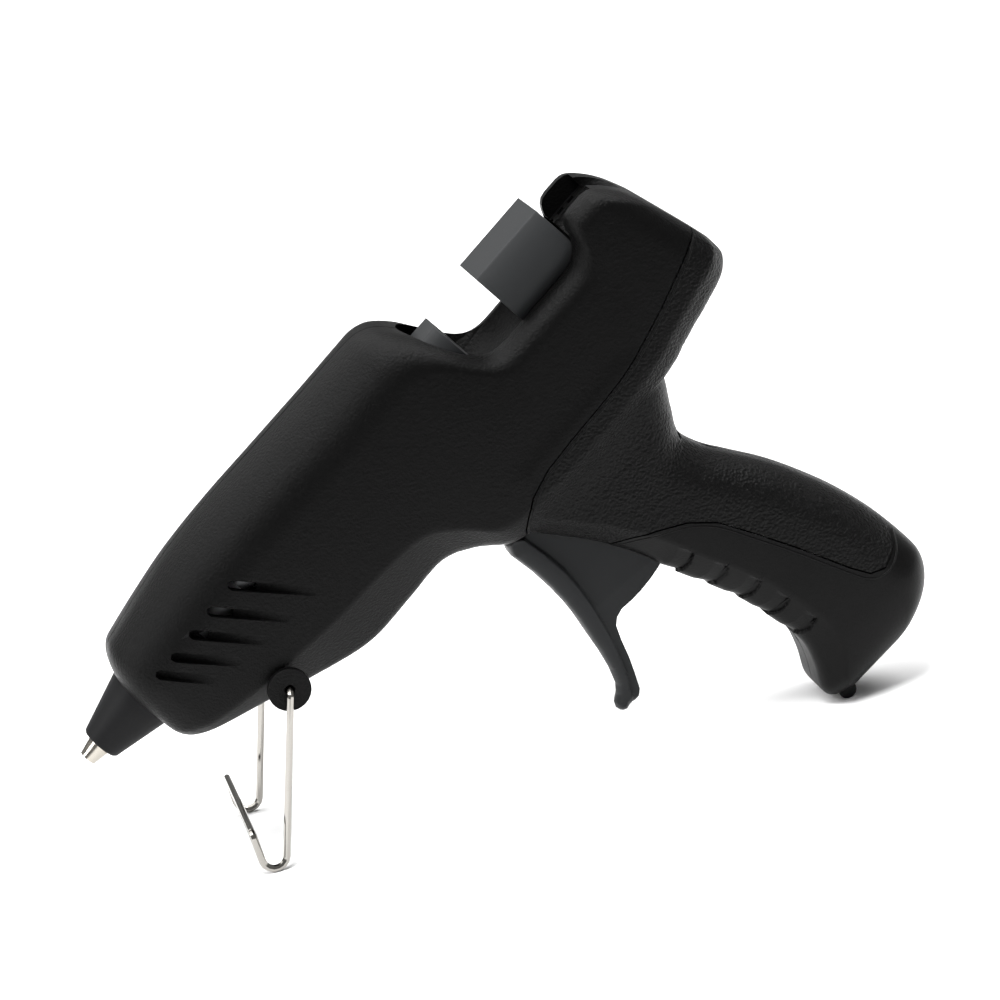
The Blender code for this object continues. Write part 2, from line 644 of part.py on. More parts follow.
def inner_supports(group):
    """Bulkhead, saddles and bosses, trimmed to the middle of the shell's wall."""
    pieces = []
    high = BODY_HALF_WIDTH * 2.0
    ribs = [(BULKHEAD_FRONT, -ARCH_RADIUS)] + [(share * GUN_LENGTH, -GRIP_DROP) for share in SADDLE_SHARES]
    for front, low in ribs:
        pieces.append(box("rib", front, front + WALL, low, high, -high, high, group))
    for u, v, _ in SCREW_PLACE_SHARES:
        pieces.append(cross_bar("boss", at(u, v), SCREW_BOSS_RADIUS, -high, high, group, PIN_SIDES))
    for side in (-1.0, 1.0):
        w = sorted((side * TRIGGER_WEB_HALF, side * high))
        radius = PIVOT_PIN_RADIUS + PIVOT_BOSS_WALL
        pieces.append(cross_bar("pivot_boss", PIVOT, radius, w[0], w[1], group, PIN_SIDES))
    return pieces


def heel_lug(group):
    """Round lug under the heel, on a short neck that runs up into the foot of the grip."""
    lug = cross_bar("heel_lug", HEEL, HEEL_RADIUS, -HEEL_HALF_WIDTH, HEEL_HALF_WIDTH, group, PIN_SIDES)
    front, rise = (share * HEEL_RADIUS for share in HEEL_NECK_SHARES)
    outline = [HEEL + gun_point(u, v) for u, v in (
        (-HEEL_RADIUS, 0.0), (HEEL_RADIUS, 0.0), (HEEL_RADIUS, rise), (-front, rise))]
    half = HEEL_HALF_WIDTH - WALL / 2.0
    return combine(lug, plate("neck", outline, -half, half, group), "UNION")


def trigger_opening(group):
    """The slot that the trigger's web swings through, open to the front of the grip."""
    reach = TRIGGER_WEB_RADIUS * (1.0 + OPENING_PLAY_SHARE)
    outline = [PIVOT + gun_point(u * reach, v * reach) for u, v in OPENING_FRONT_SHARES]
    low, high = (math.radians(degrees) for degrees in OPENING_SWEEP_DEG)
    for i in range(OPENING_ARC_POINTS):
        turn = low + (high - low) * i / (OPENING_ARC_POINTS - 1)
        far = reach * OPENING_MOUTH_SHARE if i < OPENING_ARC_POINTS / 2 else reach
        outline.append(PIVOT + gun_point(far * math.cos(turn), far * math.sin(turn)))
    outline += [PIVOT + gun_point(u * reach, v * reach) for u, v in OPENING_BACK_SHARES]
    return plate("trigger_opening", outline, -OPENING_HALF, OPENING_HALF, group)


def shell_cutters(group):
    """Everything that is cut out of the hollow body and its supports."""
    through = 2.0 * BODY_HALF_WIDTH
    recess_back = RECESS_BACK_SHARE * GUN_LENGTH
    channel_back = CHANNEL_BACK_SHARE * GUN_LENGTH
    clevis_half = LINK_HALF_WIDTH + 2.0 * PIN_CLEARANCE + CLEVIS_EAR
    slot_front, slot_back = (share * LINK_HEIGHT for share in CLEVIS_SLOT_SHARES)
    lengthways = (
        ("sleeve_hole", 0.0, SLEEVE_END, SLEEVE_BACK_RADIUS + SEAT_GAP),
        ("chamber_hole", SLEEVE_END - WALL, BULKHEAD_FRONT - CUT_OVERRUN, CHAMBER_RADIUS + SEAT_GAP),
        ("feed_hole", CHAMBER_BACK, CHANNEL_FRONT + CUT_OVERRUN, STICK_BORE + FEED_SLEEVE_WALL + SEAT_GAP),
        ("channel", CHANNEL_FRONT, channel_back, CHANNEL_RADIUS),
        ("stick_bore", CARRIAGE_FRONT, STICK_BORE_BACK_SHARE * GUN_LENGTH, STICK_BORE),
    )
    cutters = [bar(name, gun_point(front, 0.0), gun_point(back, 0.0), radius, group)
               for name, front, back, radius in lengthways]
    cutters.append(box("recess", channel_back - WALL, recess_back, RECESS_FLOOR, through, -RECESS_HALF, RECESS_HALF,
                       group))
    cutters.append(box("clevis_slot", CARRIAGE_PIN.x - CARRIAGE_STROKE - slot_front, CARRIAGE_PIN.x + slot_back,
                       FLOOR_BOTTOM - CUT_OVERRUN, -EAR_TOP_SHARE * ARCH_RADIUS, -clevis_half, clevis_half, group))
    cutters.append(trigger_opening(group))
    cutters.append(cross_bar("pivot_hole", PIVOT, PIVOT_PIN_RADIUS + PIN_CLEARANCE, -PIVOT_PIN_REACH,
                             PIVOT_PIN_REACH, group, PIN_SIDES))
    cutters.append(cross_bar("heel_hole", HEEL, SCREW_RADIUS + SEAT_GAP, -through,
                             EAR_TOP_SHARE * HEEL_HALF_WIDTH, group, HEAD_SIDES))
    cutters.append(cross_bar("heel_recess", HEEL, HEEL_SCREW_HEAD_RADIUS + SEAT_GAP, -through,
                             SCREW_HEAD_HEIGHT + SEAT_GAP - HEEL_HEAD_W, group, PIN_SIDES))
    for side in (-1.0, 1.0):
        w = sorted((side * BUTTON_HOLE_SHARE * BODY_HALF_WIDTH, side * through))
        cutters.append(cross_bar("button_hole", STAND_PIVOT, BUTTON_SHANK_RADIUS + SEAT_GAP, w[0], w[1], group,
                                 PIN_SIDES))
        cutters += [vent_cutter(upper, lower, side, group) for upper, lower in zip(VENT_UPPER_SHARES, VENT_LOWER_SHARES)]
        cutters += [finger_band_cutter(start, end, side, group) for start, end in FINGER_BAND_SHARES]
        half = GUIDE_POCKET / 2.0
        w = sorted((side * (GUIDE_POCKET_W - half), side * (GUIDE_POCKET_W + half)))
        for i in range(GUIDE_POCKET_COUNT):
            front = recess_back - WALL - GUIDE_PITCH * (i + 1) + half
            cutters.append(box("guide_pocket", front, front + GUIDE_POCKET, RECESS_FLOOR - GUIDE_POCKET_DEEP,
                               RECESS_FLOOR + GUIDE_POCKET, w[0], w[1], group))
    for u, v, wall_share in SCREW_PLACE_SHARES:
        head_w = wall_share * BODY_HALF_WIDTH - SCREW_RECESS
        cutters.append(cross_bar("screw_hole", at(u, v), SCREW_RADIUS + SEAT_GAP, -head_w,
                                 SCREW_HOLE_SHARE * head_w, group, HEAD_SIDES))
        cutters.append(cross_bar("head_hole", at(u, v), SCREW_HEAD_RADIUS + SEAT_GAP, -through,
                                 SCREW_HEAD_HEIGHT - head_w + SEAT_GAP, group, PIN_SIDES))
    return cutters


def shells(group):
    """Both sides' shells, cut from one hollow body: smooth body, textured handle and finger grip."""
    body = hollow_body(group)
    core = loft("core", stations(BODY_STATION_SHARES, BODY_HALF_WIDTH, WALL / 2.0, 1, -1), group)
    core_grip = loft("core_grip", stations(GRIP_STATION_SHARES, GRIP_HALF_WIDTH, WALL / 2.0, 0, -1), group)
    combine(core, core_grip, "UNION")
    for piece in inner_supports(group):
        combine(piece, core, "INTERSECT", keep_tool=True)
        combine(body, piece, "UNION")
    bpy.data.objects.remove(core, do_unlink=True)
    combine(body, heel_lug(group), "UNION")
    for cutter in shell_cutters(group):
        combine(body, cutter, "DIFFERENCE")

    regions = {
        "body": body_region(group),
        "handle": handle_region(group),
        "finger_grip": pad_region(group),
    }
    made = {}
    reach = 2.0 * GUN_LENGTH
    for side_name, side in (("left", 1.0), ("right", -1.0)):
        w = sorted((side * PARTING_GAP / 2.0, side * reach))
        half = copy_of(body, "half", group)
        keep = box("keep", -reach, reach, -reach, reach, w[0], w[1], group)
        combine(half, keep, "INTERSECT")
        for region_name, zone in regions.items():
            shell = copy_of(half, region_name, group)
            combine(shell, zone, "INTERSECT", keep_tool=True)
            made[region_name + "_" + side_name] = cleaned(shell)
        bpy.data.objects.remove(half, do_unlink=True)
    for zone in regions.values():
        bpy.data.objects.remove(zone, do_unlink=True)
    bpy.data.objects.remove(body, do_unlink=True)
    return made


# Nozzle, chamber and feed

def nozzle(group):
    seat = SLEEVE_END - CHAMBER_RADIUS
    melt_bore = 2.0 * ORIFICE_RADIUS
    profile = [
        (0.0, ORIFICE_RADIUS), (0.0, NOZZLE_TIP_RADIUS), (NOZZLE_TAPER_LENGTH, NOZZLE_ROOT_RADIUS),
        (seat, NOZZLE_ROOT_RADIUS), (seat, melt_bore), (NOZZLE_TAPER_LENGTH, melt_bore),
        (2.0 * NOZZLE_TIP_RADIUS, ORIFICE_RADIUS),
    ]
    return turned("nozzle_tip", profile, group, PIN_SIDES)


def sleeve(group):
    front = NOZZLE_FACE_SHARE * GUN_LENGTH
    nose = NOSE_FACE_SHARE * GUN_LENGTH
    bore = NOZZLE_ROOT_RADIUS + SEAT_GAP
    spigot = CHAMBER_SPIGOT_RADIUS + SEAT_GAP
    seat = SLEEVE_END - CHAMBER_RADIUS + SEAT_GAP
    profile = [
        (front, bore), (front, SLEEVE_FRONT_RADIUS - SLEEVE_EDGE), (front + SLEEVE_EDGE, SLEEVE_FRONT_RADIUS),
        (nose, SLEEVE_BACK_RADIUS), (SLEEVE_END, SLEEVE_BACK_RADIUS), (SLEEVE_END, spigot), (seat, spigot),
        (seat, bore),
    ]
    return turned("nozzle_sleeve", profile, group)


def chamber(group):
    """Cast heating chamber: a melt cone inside, a spigot for the nozzle and a heater pocket below."""
    shoulder = SLEEVE_END + SEAT_GAP
    front = SLEEVE_END - CHAMBER_RADIUS + 2.0 * SEAT_GAP
    melt = shoulder + (CHAMBER_BACK - shoulder) * MELT_CONE_SHARE
    melt_bore = 2.0 * ORIFICE_RADIUS
    profile = [
        (front, melt_bore), (front, CHAMBER_SPIGOT_RADIUS), (shoulder, CHAMBER_SPIGOT_RADIUS),
        (shoulder, CHAMBER_RADIUS), (CHAMBER_BACK, CHAMBER_RADIUS), (CHAMBER_BACK, STICK_BORE), (melt, STICK_BORE),
        (shoulder, melt_bore),
    ]
    made = turned("heating_chamber", profile, group)
    middle = (shoulder + CHAMBER_BACK) / 2.0
    pocket_top = -CHAMBER_RADIUS + POCKET_FLOOR
    half_length = HEATER_LENGTH / 2.0 + SEAT_GAP
    half_width = HEATER_WIDTH / 2.0 + SEAT_GAP
    deep = -CHAMBER_RADIUS - POCKET_FLOOR - HEATER_THICKNESS
    case = box("case", middle - half_length - POCKET_FLOOR, middle + half_length + POCKET_FLOOR, deep, pocket_top,
               -half_width - POCKET_FLOOR, half_width + POCKET_FLOOR, group)
    combine(made, case, "UNION")
    pocket = box("pocket", middle - half_length, middle + half_length, deep - CUT_OVERRUN,
                 deep + HEATER_THICKNESS, -half_width, half_width, group)
    combine(made, pocket, "DIFFERENCE")
    bore = bar("bore", gun_point(melt, 0.0), gun_point(CHAMBER_BACK + CUT_OVERRUN, 0.0), STICK_BORE, group)
    combine(made, bore, "DIFFERENCE")
    return made, middle, deep


def heater(middle, deep, group):
    return box(
        "heater_element", middle - HEATER_LENGTH / 2.0, middle + HEATER_LENGTH / 2.0,
        deep, deep + HEATER_THICKNESS - SEAT_GAP, -HEATER_WIDTH / 2.0, HEATER_WIDTH / 2.0, group,
    )


def ring_points(radius, start, sweep, count):
    """Points of an arc round the barrel's axis, as (across, up) pairs."""
    turns = [start + sweep * i / (count - 1) for i in range(count)]
    return [(radius * math.cos(turn), radius * math.sin(turn)) for turn in turns]


def heater_clip(middle, deep, group):
    """Sprung strap that hugs the chamber from above and closes under the heater pocket."""
    inner = CHAMBER_RADIUS + SEAT_GAP
    outer = inner + CLIP_THICKNESS
    low = deep - SEAT_GAP
    outline = ring_points(outer, 0.0, math.pi, PIN_SIDES) + [
        (-outer, low - CLIP_THICKNESS), (outer, low - CLIP_THICKNESS)]
    hole = ring_points(inner, 0.0, math.pi, PIN_SIDES) + [(-inner, low), (inner, low)]
    half = CLIP_WIDTH / 2.0
    return barrel_prism("heater_clip", (outline, hole), middle - half, middle + half, group)


def feed_sleeve(group):
    front = CHAMBER_BACK + SEAT_GAP
    back = COLLAR_FRONT - SEAT_GAP
    outer = STICK_BORE + FEED_SLEEVE_WALL
    return turned("feed_sleeve", [(front, STICK_BORE), (front, outer), (back, outer), (back, STICK_BORE)], group)


def arch(name, front, back, radius, flat, group):
    """A flat-topped arch, still without its bore."""
    start = math.asin(flat / radius)
    sweep = -math.pi - 2.0 * start
    outline = ring_points(radius, start, sweep, RING_SIDES)
    return barrel_prism(name, [outline], front, back, group)


def collar(group):
    """Front collar: its flange lies in the channel behind the bulkhead, and its arch shows in the valley."""
    flange_back = COLLAR_FRONT + COLLAR_FLANGE
    made = arch("front_collar", COLLAR_FRONT, flange_back, ARCH_RADIUS, ARCH_FLAT, group)
    nose = arch("collar_arch", flange_back - COLLAR_FLANGE / 2.0, COLLAR_BACK_SHARE * GUN_LENGTH, COLLAR_RADIUS,
                COLLAR_FLAT, group)
    combine(made, nose, "UNION")
    bore = bar("bore", gun_point(0.0, 0.0), gun_point(GUN_LENGTH, 0.0), STICK_BORE, group)
    return combine(made, bore, "DIFFERENCE")


def carriage(group):
    """Feed carriage: it grips the stick and slides forward in the channel. Its clevis hangs through the floor."""
    made = arch("feed_carriage", CARRIAGE_FRONT, CARRIAGE_BACK, ARCH_RADIUS, ARCH_FLAT, group)
    ear_in = LINK_HALF_WIDTH + PIN_CLEARANCE
    ear_out = ear_in + CLEVIS_EAR
    front = CARRIAGE_PIN.x - LINK_HEIGHT
    back = CARRIAGE_PIN.x + LINK_HEIGHT
    low = CARRIAGE_PIN.z - LINK_HEIGHT * EAR_DROP_SHARE
    foot_top = FLOOR_BOTTOM - SEAT_GAP
    for side in (-1.0, 1.0):
        w = sorted((side * ear_in, side * ear_out))
        ear = box("ear", front, back, low, -EAR_TOP_SHARE * ARCH_RADIUS, w[0], w[1], group)
        combine(made, ear, "UNION")
        w = sorted((side * (ear_in + CLEVIS_EAR / 2.0), side * (ear_out + CLEVIS_FOOT_WIDTH)))
        foot = box("foot", front, back, foot_top - CLEVIS_FOOT_THICKNESS, foot_top, w[0], w[1], group)
        combine(made, foot, "UNION")
    hole = cross_bar("hole", CARRIAGE_PIN, PIN_RADIUS + PIN_CLEARANCE, -2.0 * ear_out, 2.0 * ear_out, group, PIN_SIDES)
    combine(made, hole, "DIFFERENCE")
    bore = bar("bore", gun_point(0.0, 0.0), gun_point(GUN_LENGTH, 0.0), STICK_BORE, group)
    return combine(made, bore, "DIFFERENCE")


def push_link(group):
    """Link from the trigger's arm to the carriage: a fork at the front, and a tall eye at the open pivot behind."""
    half = LINK_HEIGHT / 2.0
    inner = TRIGGER_ARM_HALF + PIN_CLEARANCE
    outer = inner + CLEVIS_EAR
    fork_end = ARM_TIP.x + half + PIN_CLEARANCE + PIN_RADIUS
    outline = []
    for center, start in ((ARM_TIP, math.pi / 2.0), (CARRIAGE_PIN, -math.pi / 2.0)):
        for i in range(HEAD_SIDES):
            turn = start + math.pi * i / (HEAD_SIDES - 1)
            outline.append(center + gun_point(half * math.cos(turn), half * math.sin(turn)))
    made = plate("push_link", outline, -outer, outer, group)
    fork = box("fork", ARM_TIP.x - LINK_HEIGHT, fork_end, -GRIP_DROP, 0.0, -inner, inner, group)
    combine(made, fork, "DIFFERENCE")
    for side in (-1.0, 1.0):
        w = sorted((side * LINK_HALF_WIDTH, side * 2.0 * outer))
        flank = box("flank", fork_end + CLEVIS_EAR, CARRIAGE_PIN.x + LINK_HEIGHT, -GRIP_DROP, 0.0, w[0], w[1], group)
        combine(made, flank, "DIFFERENCE")
    for place in (ARM_TIP, CARRIAGE_PIN, CARRIAGE_PIN - gun_point(0.0, LINK_LIFT)):
        hole = cross_bar("hole", place, PIN_RADIUS + PIN_CLEARANCE, -2.0 * outer, 2.0 * outer, group, PIN_SIDES)
        combine(made, hole, "DIFFERENCE")
    return cleaned(made)


def taper_toe(target):
    """Draw the lever in, from its full width to its narrow toe."""
    top, bottom = (share * GRIP_DROP for share in TOE_TAPER_SHARES)
    for vert in target.data.vertices:
        part = min(max((vert.co.z - top) / (bottom - top), 0.0), 1.0)
        vert.co.y *= 1.0 - (1.0 - TOE_WIDTH_SHARE) * part


def trigger(group):
    """Lever with a broad finger flange, a web that swings into the grip, a hub and an arm to the link."""
    front = [at(u, v) for u, v in LEVER_FRONT_SHARES]
    back = [at(u, v) for u, v in LEVER_BACK_SHARES]
    made = plate("trigger", front + back, -TRIGGER_FLANGE_HALF, TRIGGER_FLANGE_HALF, group)

    tail = [at(u, v) for u, v in WEB_TAIL_SHARES]
    inner = [at(u, v) for u, v in WEB_INNER_SHARES]
    outline = [gun_point(PIVOT.x - TRIGGER_HUB_RADIUS, PIVOT.z)]
    outline += [point + gun_point(WALL / 2.0, 0.0) for point in front[1:-2]]
    outline += list(reversed(tail))
    arc_start = math.atan2(tail[0].z - PIVOT.z, tail[0].x - PIVOT.x)
    arc_end = math.atan2(inner[-1].z - PIVOT.z, inner[-1].x - PIVOT.x)
    for i in range(1, WEB_ARC_POINTS):
        turn = arc_start + (arc_end - arc_start) * i / (WEB_ARC_POINTS - 1)
        outline.append(PIVOT + gun_point(TRIGGER_WEB_RADIUS * math.cos(turn), TRIGGER_WEB_RADIUS * math.sin(turn)))
    outline += list(reversed(inner[:-1]))
    outline.append(gun_point(PIVOT.x + TRIGGER_HUB_RADIUS, PIVOT.z))
    web = plate("web", outline, -TRIGGER_WEB_HALF, TRIGGER_WEB_HALF, group)
    for piece in (made, web):
        taper_toe(piece)
    combine(made, web, "UNION")

    hub = cross_bar("hub", PIVOT, TRIGGER_HUB_RADIUS, -TRIGGER_WEB_HALF, TRIGGER_WEB_HALF, group, RING_SIDES)
    combine(made, hub, "UNION")

    half = LINK_HEIGHT / 2.0
    up = (ARM_TIP - PIVOT).normalized()
    side_way = Vector((up.z, 0.0, -up.x)) * half
    root = side_way * ARM_ROOT_SHARE
    blade = plate("blade", [PIVOT + root, PIVOT - root, ARM_TIP - side_way, ARM_TIP + side_way],
                  -TRIGGER_ARM_HALF, TRIGGER_ARM_HALF, group)
    tip = cross_bar("tip", ARM_TIP, half, -TRIGGER_ARM_HALF, TRIGGER_ARM_HALF, group, PIN_SIDES)
    combine(blade, tip, "UNION")
    combine(made, blade, "UNION")
    for place, radius in ((PIVOT, PIVOT_PIN_RADIUS + PIN_CLEARANCE), (ARM_TIP, PIN_RADIUS + PIN_CLEARANCE)):
        hole = cross_bar("hole", place, radius, -2.0 * TRIGGER_WEB_HALF, 2.0 * TRIGGER_WEB_HALF, group, PIN_SIDES)
        combine(made, hole, "DIFFERENCE")
    return cleaned(made)


def wire(name, points, radius, group, resolution=2):
    """A bent wire through points of the gun's frame."""
    path = bpy.data.curves.new(name, "CURVE")
    path.dimensions = "3D"
    path.bevel_depth = radius
    path.bevel_resolution = resolution
    path.use_fill_caps = True
    spline = path.splines.new("POLY")
    spline.points.add(len(points) - 1)
    for control, point in zip(spline.points, points):
        control.co = (*point, 1.0)
    curve = bpy.data.objects.new(name + "_path", path)
    group.objects.link(curve)
    return closed_mesh(curve, name, group)


def stand_directions():
    lean = math.radians(STAND_LEAN_DEG)
    along = gun_point(math.cos(lean), math.sin(lean))
    normal = gun_point(math.sin(lean), -math.cos(lean))
    return along, normal


def foot_center():
    along, normal = stand_directions()
    return STAND_PIVOT + along * STAND_LEG + normal * STAND_FOOT_RADIUS


def stand_half_path():
    """One leg of the stand, from the hook in the button to the cross bar's end, on the gun's left."""
    along, normal = stand_directions()
    out = Vector((0.0, -1.0, 0.0))
    bend = STAND_BEND_RADIUS
    hook = STAND_PIVOT + out * (STAND_W - STAND_HOOK)
    points = [hook]
    quarter = [math.pi / 2.0 * i / (BEND_POINTS - 1) for i in range(BEND_POINTS)]
    for turn in quarter:
        points.append(
            STAND_PIVOT + out * (STAND_W - bend + bend * math.sin(turn)) + along * (bend - bend * math.cos(turn)))
    center = foot_center() + out * STAND_W
    radius = STAND_FOOT_RADIUS
    for i in range(FOOT_POINTS):
        turn = math.radians(STAND_FOOT_SWEEP_DEG) * i / (FOOT_POINTS - 1)
        points.append(center - normal * (radius * math.cos(turn)) + along * (radius * math.sin(turn)))
    turn = math.radians(STAND_FOOT_SWEEP_DEG)
    rising = normal * math.sin(turn) + along * math.cos(turn)
    corner = points[-1] + rising * STAND_FOOT_RISE
    for turn in quarter:
        points.append(corner - rising * (bend - bend * math.sin(turn)) - out * (bend - bend * math.cos(turn)))
    return points


def wire_stand(group):
    left = stand_half_path()
    right = [Vector((point.x, -point.y, point.z)) for point in left]
    return wire("wire_stand", left + list(reversed(right)), STAND_WIRE_RADIUS, group)


def stand_button(side, group):
    w_face = BODY_HALF_WIDTH + BUTTON_PROUD
    w_skin = BODY_HALF_WIDTH + SEAT_GAP
    w_in = BUTTON_SHANK_SHARE * BODY_HALF_WIDTH
    ends = sorted((side * w_skin, side * w_face))
    made = cross_bar("button", STAND_PIVOT, BUTTON_RADIUS, ends[0], ends[1], group, RING_SIDES)
    ends = sorted((side * w_in, side * (w_skin + (w_face - w_skin) / 2.0)))
    shank = cross_bar("shank", STAND_PIVOT, BUTTON_SHANK_RADIUS, ends[0], ends[1], group, PIN_SIDES)
    combine(made, shank, "UNION")
    ends = sorted((side * w_in - side * CUT_OVERRUN, side * (w_face + CUT_OVERRUN)))
    hole = cross_bar("hole", STAND_PIVOT, STAND_WIRE_RADIUS + SEAT_GAP, ends[0], ends[1], group, HEAD_SIDES)
    return combine(made, hole, "DIFFERENCE")


def torsion_spring(group):
    """Return spring wound round the left pivot boss."""
    points = []
    for i in range(SPRING_TURNS * TURN_POINTS + 1):
        turn = 2.0 * math.pi * i / TURN_POINTS
        w = SPRING_START_W + SPRING_WIRE_RADIUS + SPRING_PITCH * i / TURN_POINTS
        points.append(PIVOT + gun_point(SPRING_RADIUS * math.cos(turn), SPRING_RADIUS * math.sin(turn), w))
    leg = gun_point(0.0, -SPRING_LEG)
    points.insert(0, points[0] + leg)
    points.append(points[-1] + gun_point(0.0, SPRING_LEG))
    return wire("trigger_spring", points, SPRING_WIRE_RADIUS, group, 1)


def screw(place, head_radius, head_w, length, group):
    """Screw driven in from the gun's right."""
    head = cross_bar("head", place, head_radius, -head_w, SCREW_HEAD_HEIGHT - head_w, group, HEAD_SIDES)
    shank = cross_bar("shank", place, SCREW_RADIUS, SCREW_HEAD_HEIGHT / 2.0 - head_w, length - head_w, group,
                      SHANK_SIDES)
    combine(head, shank, "UNION")
    long_half = DRIVE_LENGTH_SHARE * head_radius
    thin_half = DRIVE_WIDTH_SHARE * SCREW_HEAD_HEIGHT
    for half_u, half_v in ((long_half, thin_half), (thin_half, long_half)):
        slot = box("slot", place.x - half_u, place.x + half_u, place.z - half_v, place.z + half_v,
                   -head_w - CUT_OVERRUN, DRIVE_DEPTH_SHARE * SCREW_HEAD_HEIGHT - head_w, group)
        combine(head, slot, "DIFFERENCE")
    return head


def screws(group):
    """The screws that hold the two sides together, each in its own boss."""
    made = []
    for u, v, wall_share in SCREW_PLACE_SHARES:
        head_w = wall_share * BODY_HALF_WIDTH - SCREW_RECESS
        made.append(screw(at(u, v), SCREW_HEAD_RADIUS, head_w, SCREW_LENGTH_SHARE * head_w, group))
    return made


def rest_lean():
    """The angle that sets the stand's feet and the heel lug on one level."""
    foot = foot_center()
    foot_radius = STAND_FOOT_RADIUS + STAND_WIRE_RADIUS
    across = HEEL - foot
    distance = math.hypot(across.x, across.z)
    slope = math.atan2(across.z, across.x)
    return -slope + math.asin((HEEL_RADIUS - foot_radius) / distance)


def stand_on_floor(frame):
    """Lean the gun onto its stand and heel, with the middle of its box over the origin."""
    frame.rotation_euler = (0.0, -rest_lean(), 0.0)
    bpy.context.view_layer.update()
    points = [piece.matrix_world @ vert.co for piece in frame.children for vert in piece.data.vertices]
    along = [point.x for point in points]
    frame.location = (-(min(along) + max(along)) / 2.0, 0.0, -min(point.z for point in points))
    bpy.context.view_layer.update()


def main():
    clear_scene()
    group = new_collection("glue_gun")
    black = make_material("black_abs", (0.022, 0.022, 0.024), 0.48)
    grained = make_material("grained_black_abs", (0.02, 0.02, 0.021), 0.62)
    grey = make_material("grey_nylon", (0.075, 0.078, 0.082), 0.42)
    dark = make_material("dark_glass_nylon", (0.05, 0.052, 0.056), 0.5)
    nickel = make_material("nickel_plate", (0.72, 0.70, 0.66), 0.22, 1.0)
    cast = make_material("cast_aluminium", (0.66, 0.67, 0.68), 0.45, 1.0)
    spring_steel = make_material("spring_steel", (0.5, 0.5, 0.52), 0.3, 1.0)
    ceramic = make_material("heater_ceramic", (0.78, 0.74, 0.66), 0.7)
    silicone = make_material("red_silicone", (0.42, 0.06, 0.04), 0.6)

    frame = bpy.data.objects.new("gun_frame", None)
    group.objects.link(frame)

    for name, shell in shells(group).items():
        finish(shell, name, black if name.startswith("body") else grained, frame)
    made_chamber, middle, deep = chamber(group)
    finish(made_chamber, "heating_chamber", cast, frame)
    finish(heater(middle, deep, group), "heater_element", ceramic, frame)
    finish(heater_clip(middle, deep, group), "heater_clip", spring_steel, frame)
    finish(nozzle(group), "nozzle_tip", nickel, frame)
    finish(sleeve(group), "nozzle_sleeve", dark, frame)
    finish(feed_sleeve(group), "feed_sleeve", silicone, frame)
    finish(collar(group), "front_collar", grey, frame)
    finish(carriage(group), "feed_carriage", grey, frame)
    finish(push_link(group), "push_link", spring_steel, frame)
    finish(trigger(group), "trigger", grey, frame)
    pins = (
        ("arm_pin", ARM_TIP, PIN_RADIUS, TRIGGER_ARM_HALF + PIN_CLEARANCE + CLEVIS_EAR),
        ("carriage_pin", CARRIAGE_PIN, PIN_RADIUS, LINK_HALF_WIDTH + PIN_CLEARANCE + CLEVIS_EAR),
        ("trigger_pivot_pin", PIVOT, PIVOT_PIN_RADIUS, PIVOT_PIN_REACH - SEAT_GAP),
    )
    for name, place, radius, reach in pins:
        finish(cross_bar(name, place, radius, -reach, reach, group, PIN_SIDES), name, spring_steel, frame)
    finish(torsion_spring(group), "trigger_spring", spring_steel, frame)
    finish(wire_stand(group), "wire_stand", nickel, frame)
    finish(stand_button(1.0, group), "stand_button_left", black, frame)
    finish(stand_button(-1.0, group), "stand_button_right", black, frame)
    for number, made_screw in enumerate(screws(group), 1):
        finish(made_screw, f"housing_screw_{number}", spring_steel, frame)
    heel_screw = screw(HEEL, HEEL_SCREW_HEAD_RADIUS, HEEL_HEAD_W, HEEL_SCREW_SHARE * HEEL_HALF_WIDTH, group)
    finish(heel_screw, "heel_screw", spring_steel, frame)

    stand_on_floor(frame)


main()
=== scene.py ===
"""Hot glue gun on its wire stand: finishes, fine surfaces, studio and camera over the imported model."""
import json
import math

import bmesh
import bpy
from mathutils import Matrix, Vector
from mathutils.bvhtree import BVHTree
from mathutils.interpolate import poly_3d_calc


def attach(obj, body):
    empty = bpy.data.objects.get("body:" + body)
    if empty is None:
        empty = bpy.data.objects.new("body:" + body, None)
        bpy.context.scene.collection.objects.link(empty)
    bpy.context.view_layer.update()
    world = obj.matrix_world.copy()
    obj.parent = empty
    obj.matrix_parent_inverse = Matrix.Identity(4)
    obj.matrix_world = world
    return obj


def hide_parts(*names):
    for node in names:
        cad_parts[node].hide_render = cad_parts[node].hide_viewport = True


MM = 0.001

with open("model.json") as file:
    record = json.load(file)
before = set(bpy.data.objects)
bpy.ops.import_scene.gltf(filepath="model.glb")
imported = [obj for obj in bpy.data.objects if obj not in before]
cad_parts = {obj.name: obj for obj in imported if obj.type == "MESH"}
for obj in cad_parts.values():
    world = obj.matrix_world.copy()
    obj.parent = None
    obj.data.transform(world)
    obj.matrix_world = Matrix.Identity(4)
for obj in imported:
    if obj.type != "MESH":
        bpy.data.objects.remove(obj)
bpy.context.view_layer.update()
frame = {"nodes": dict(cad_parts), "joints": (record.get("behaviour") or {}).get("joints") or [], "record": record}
NODES = frame["nodes"]
JOINTS = {joint["name"]: joint for joint in frame["joints"]}

# The gun's own side view, found from its joints: u back along the barrel, v up from its axis, w to the left
TRIGGER_PIVOT_U = 115.06 * MM
TRIGGER_PIVOT_V = -37.94 * MM
ALONG = -Vector(JOINTS["carriage_feed"]["axis"])
UPWARD = Vector((-ALONG.z, 0.0, ALONG.x))
LEFTWARD = Vector((0.0, -1.0, 0.0))
NOZZLE = Vector(JOINTS["trigger_pull"]["pos_m"]) - ALONG * TRIGGER_PIVOT_U - UPWARD * TRIGGER_PIVOT_V

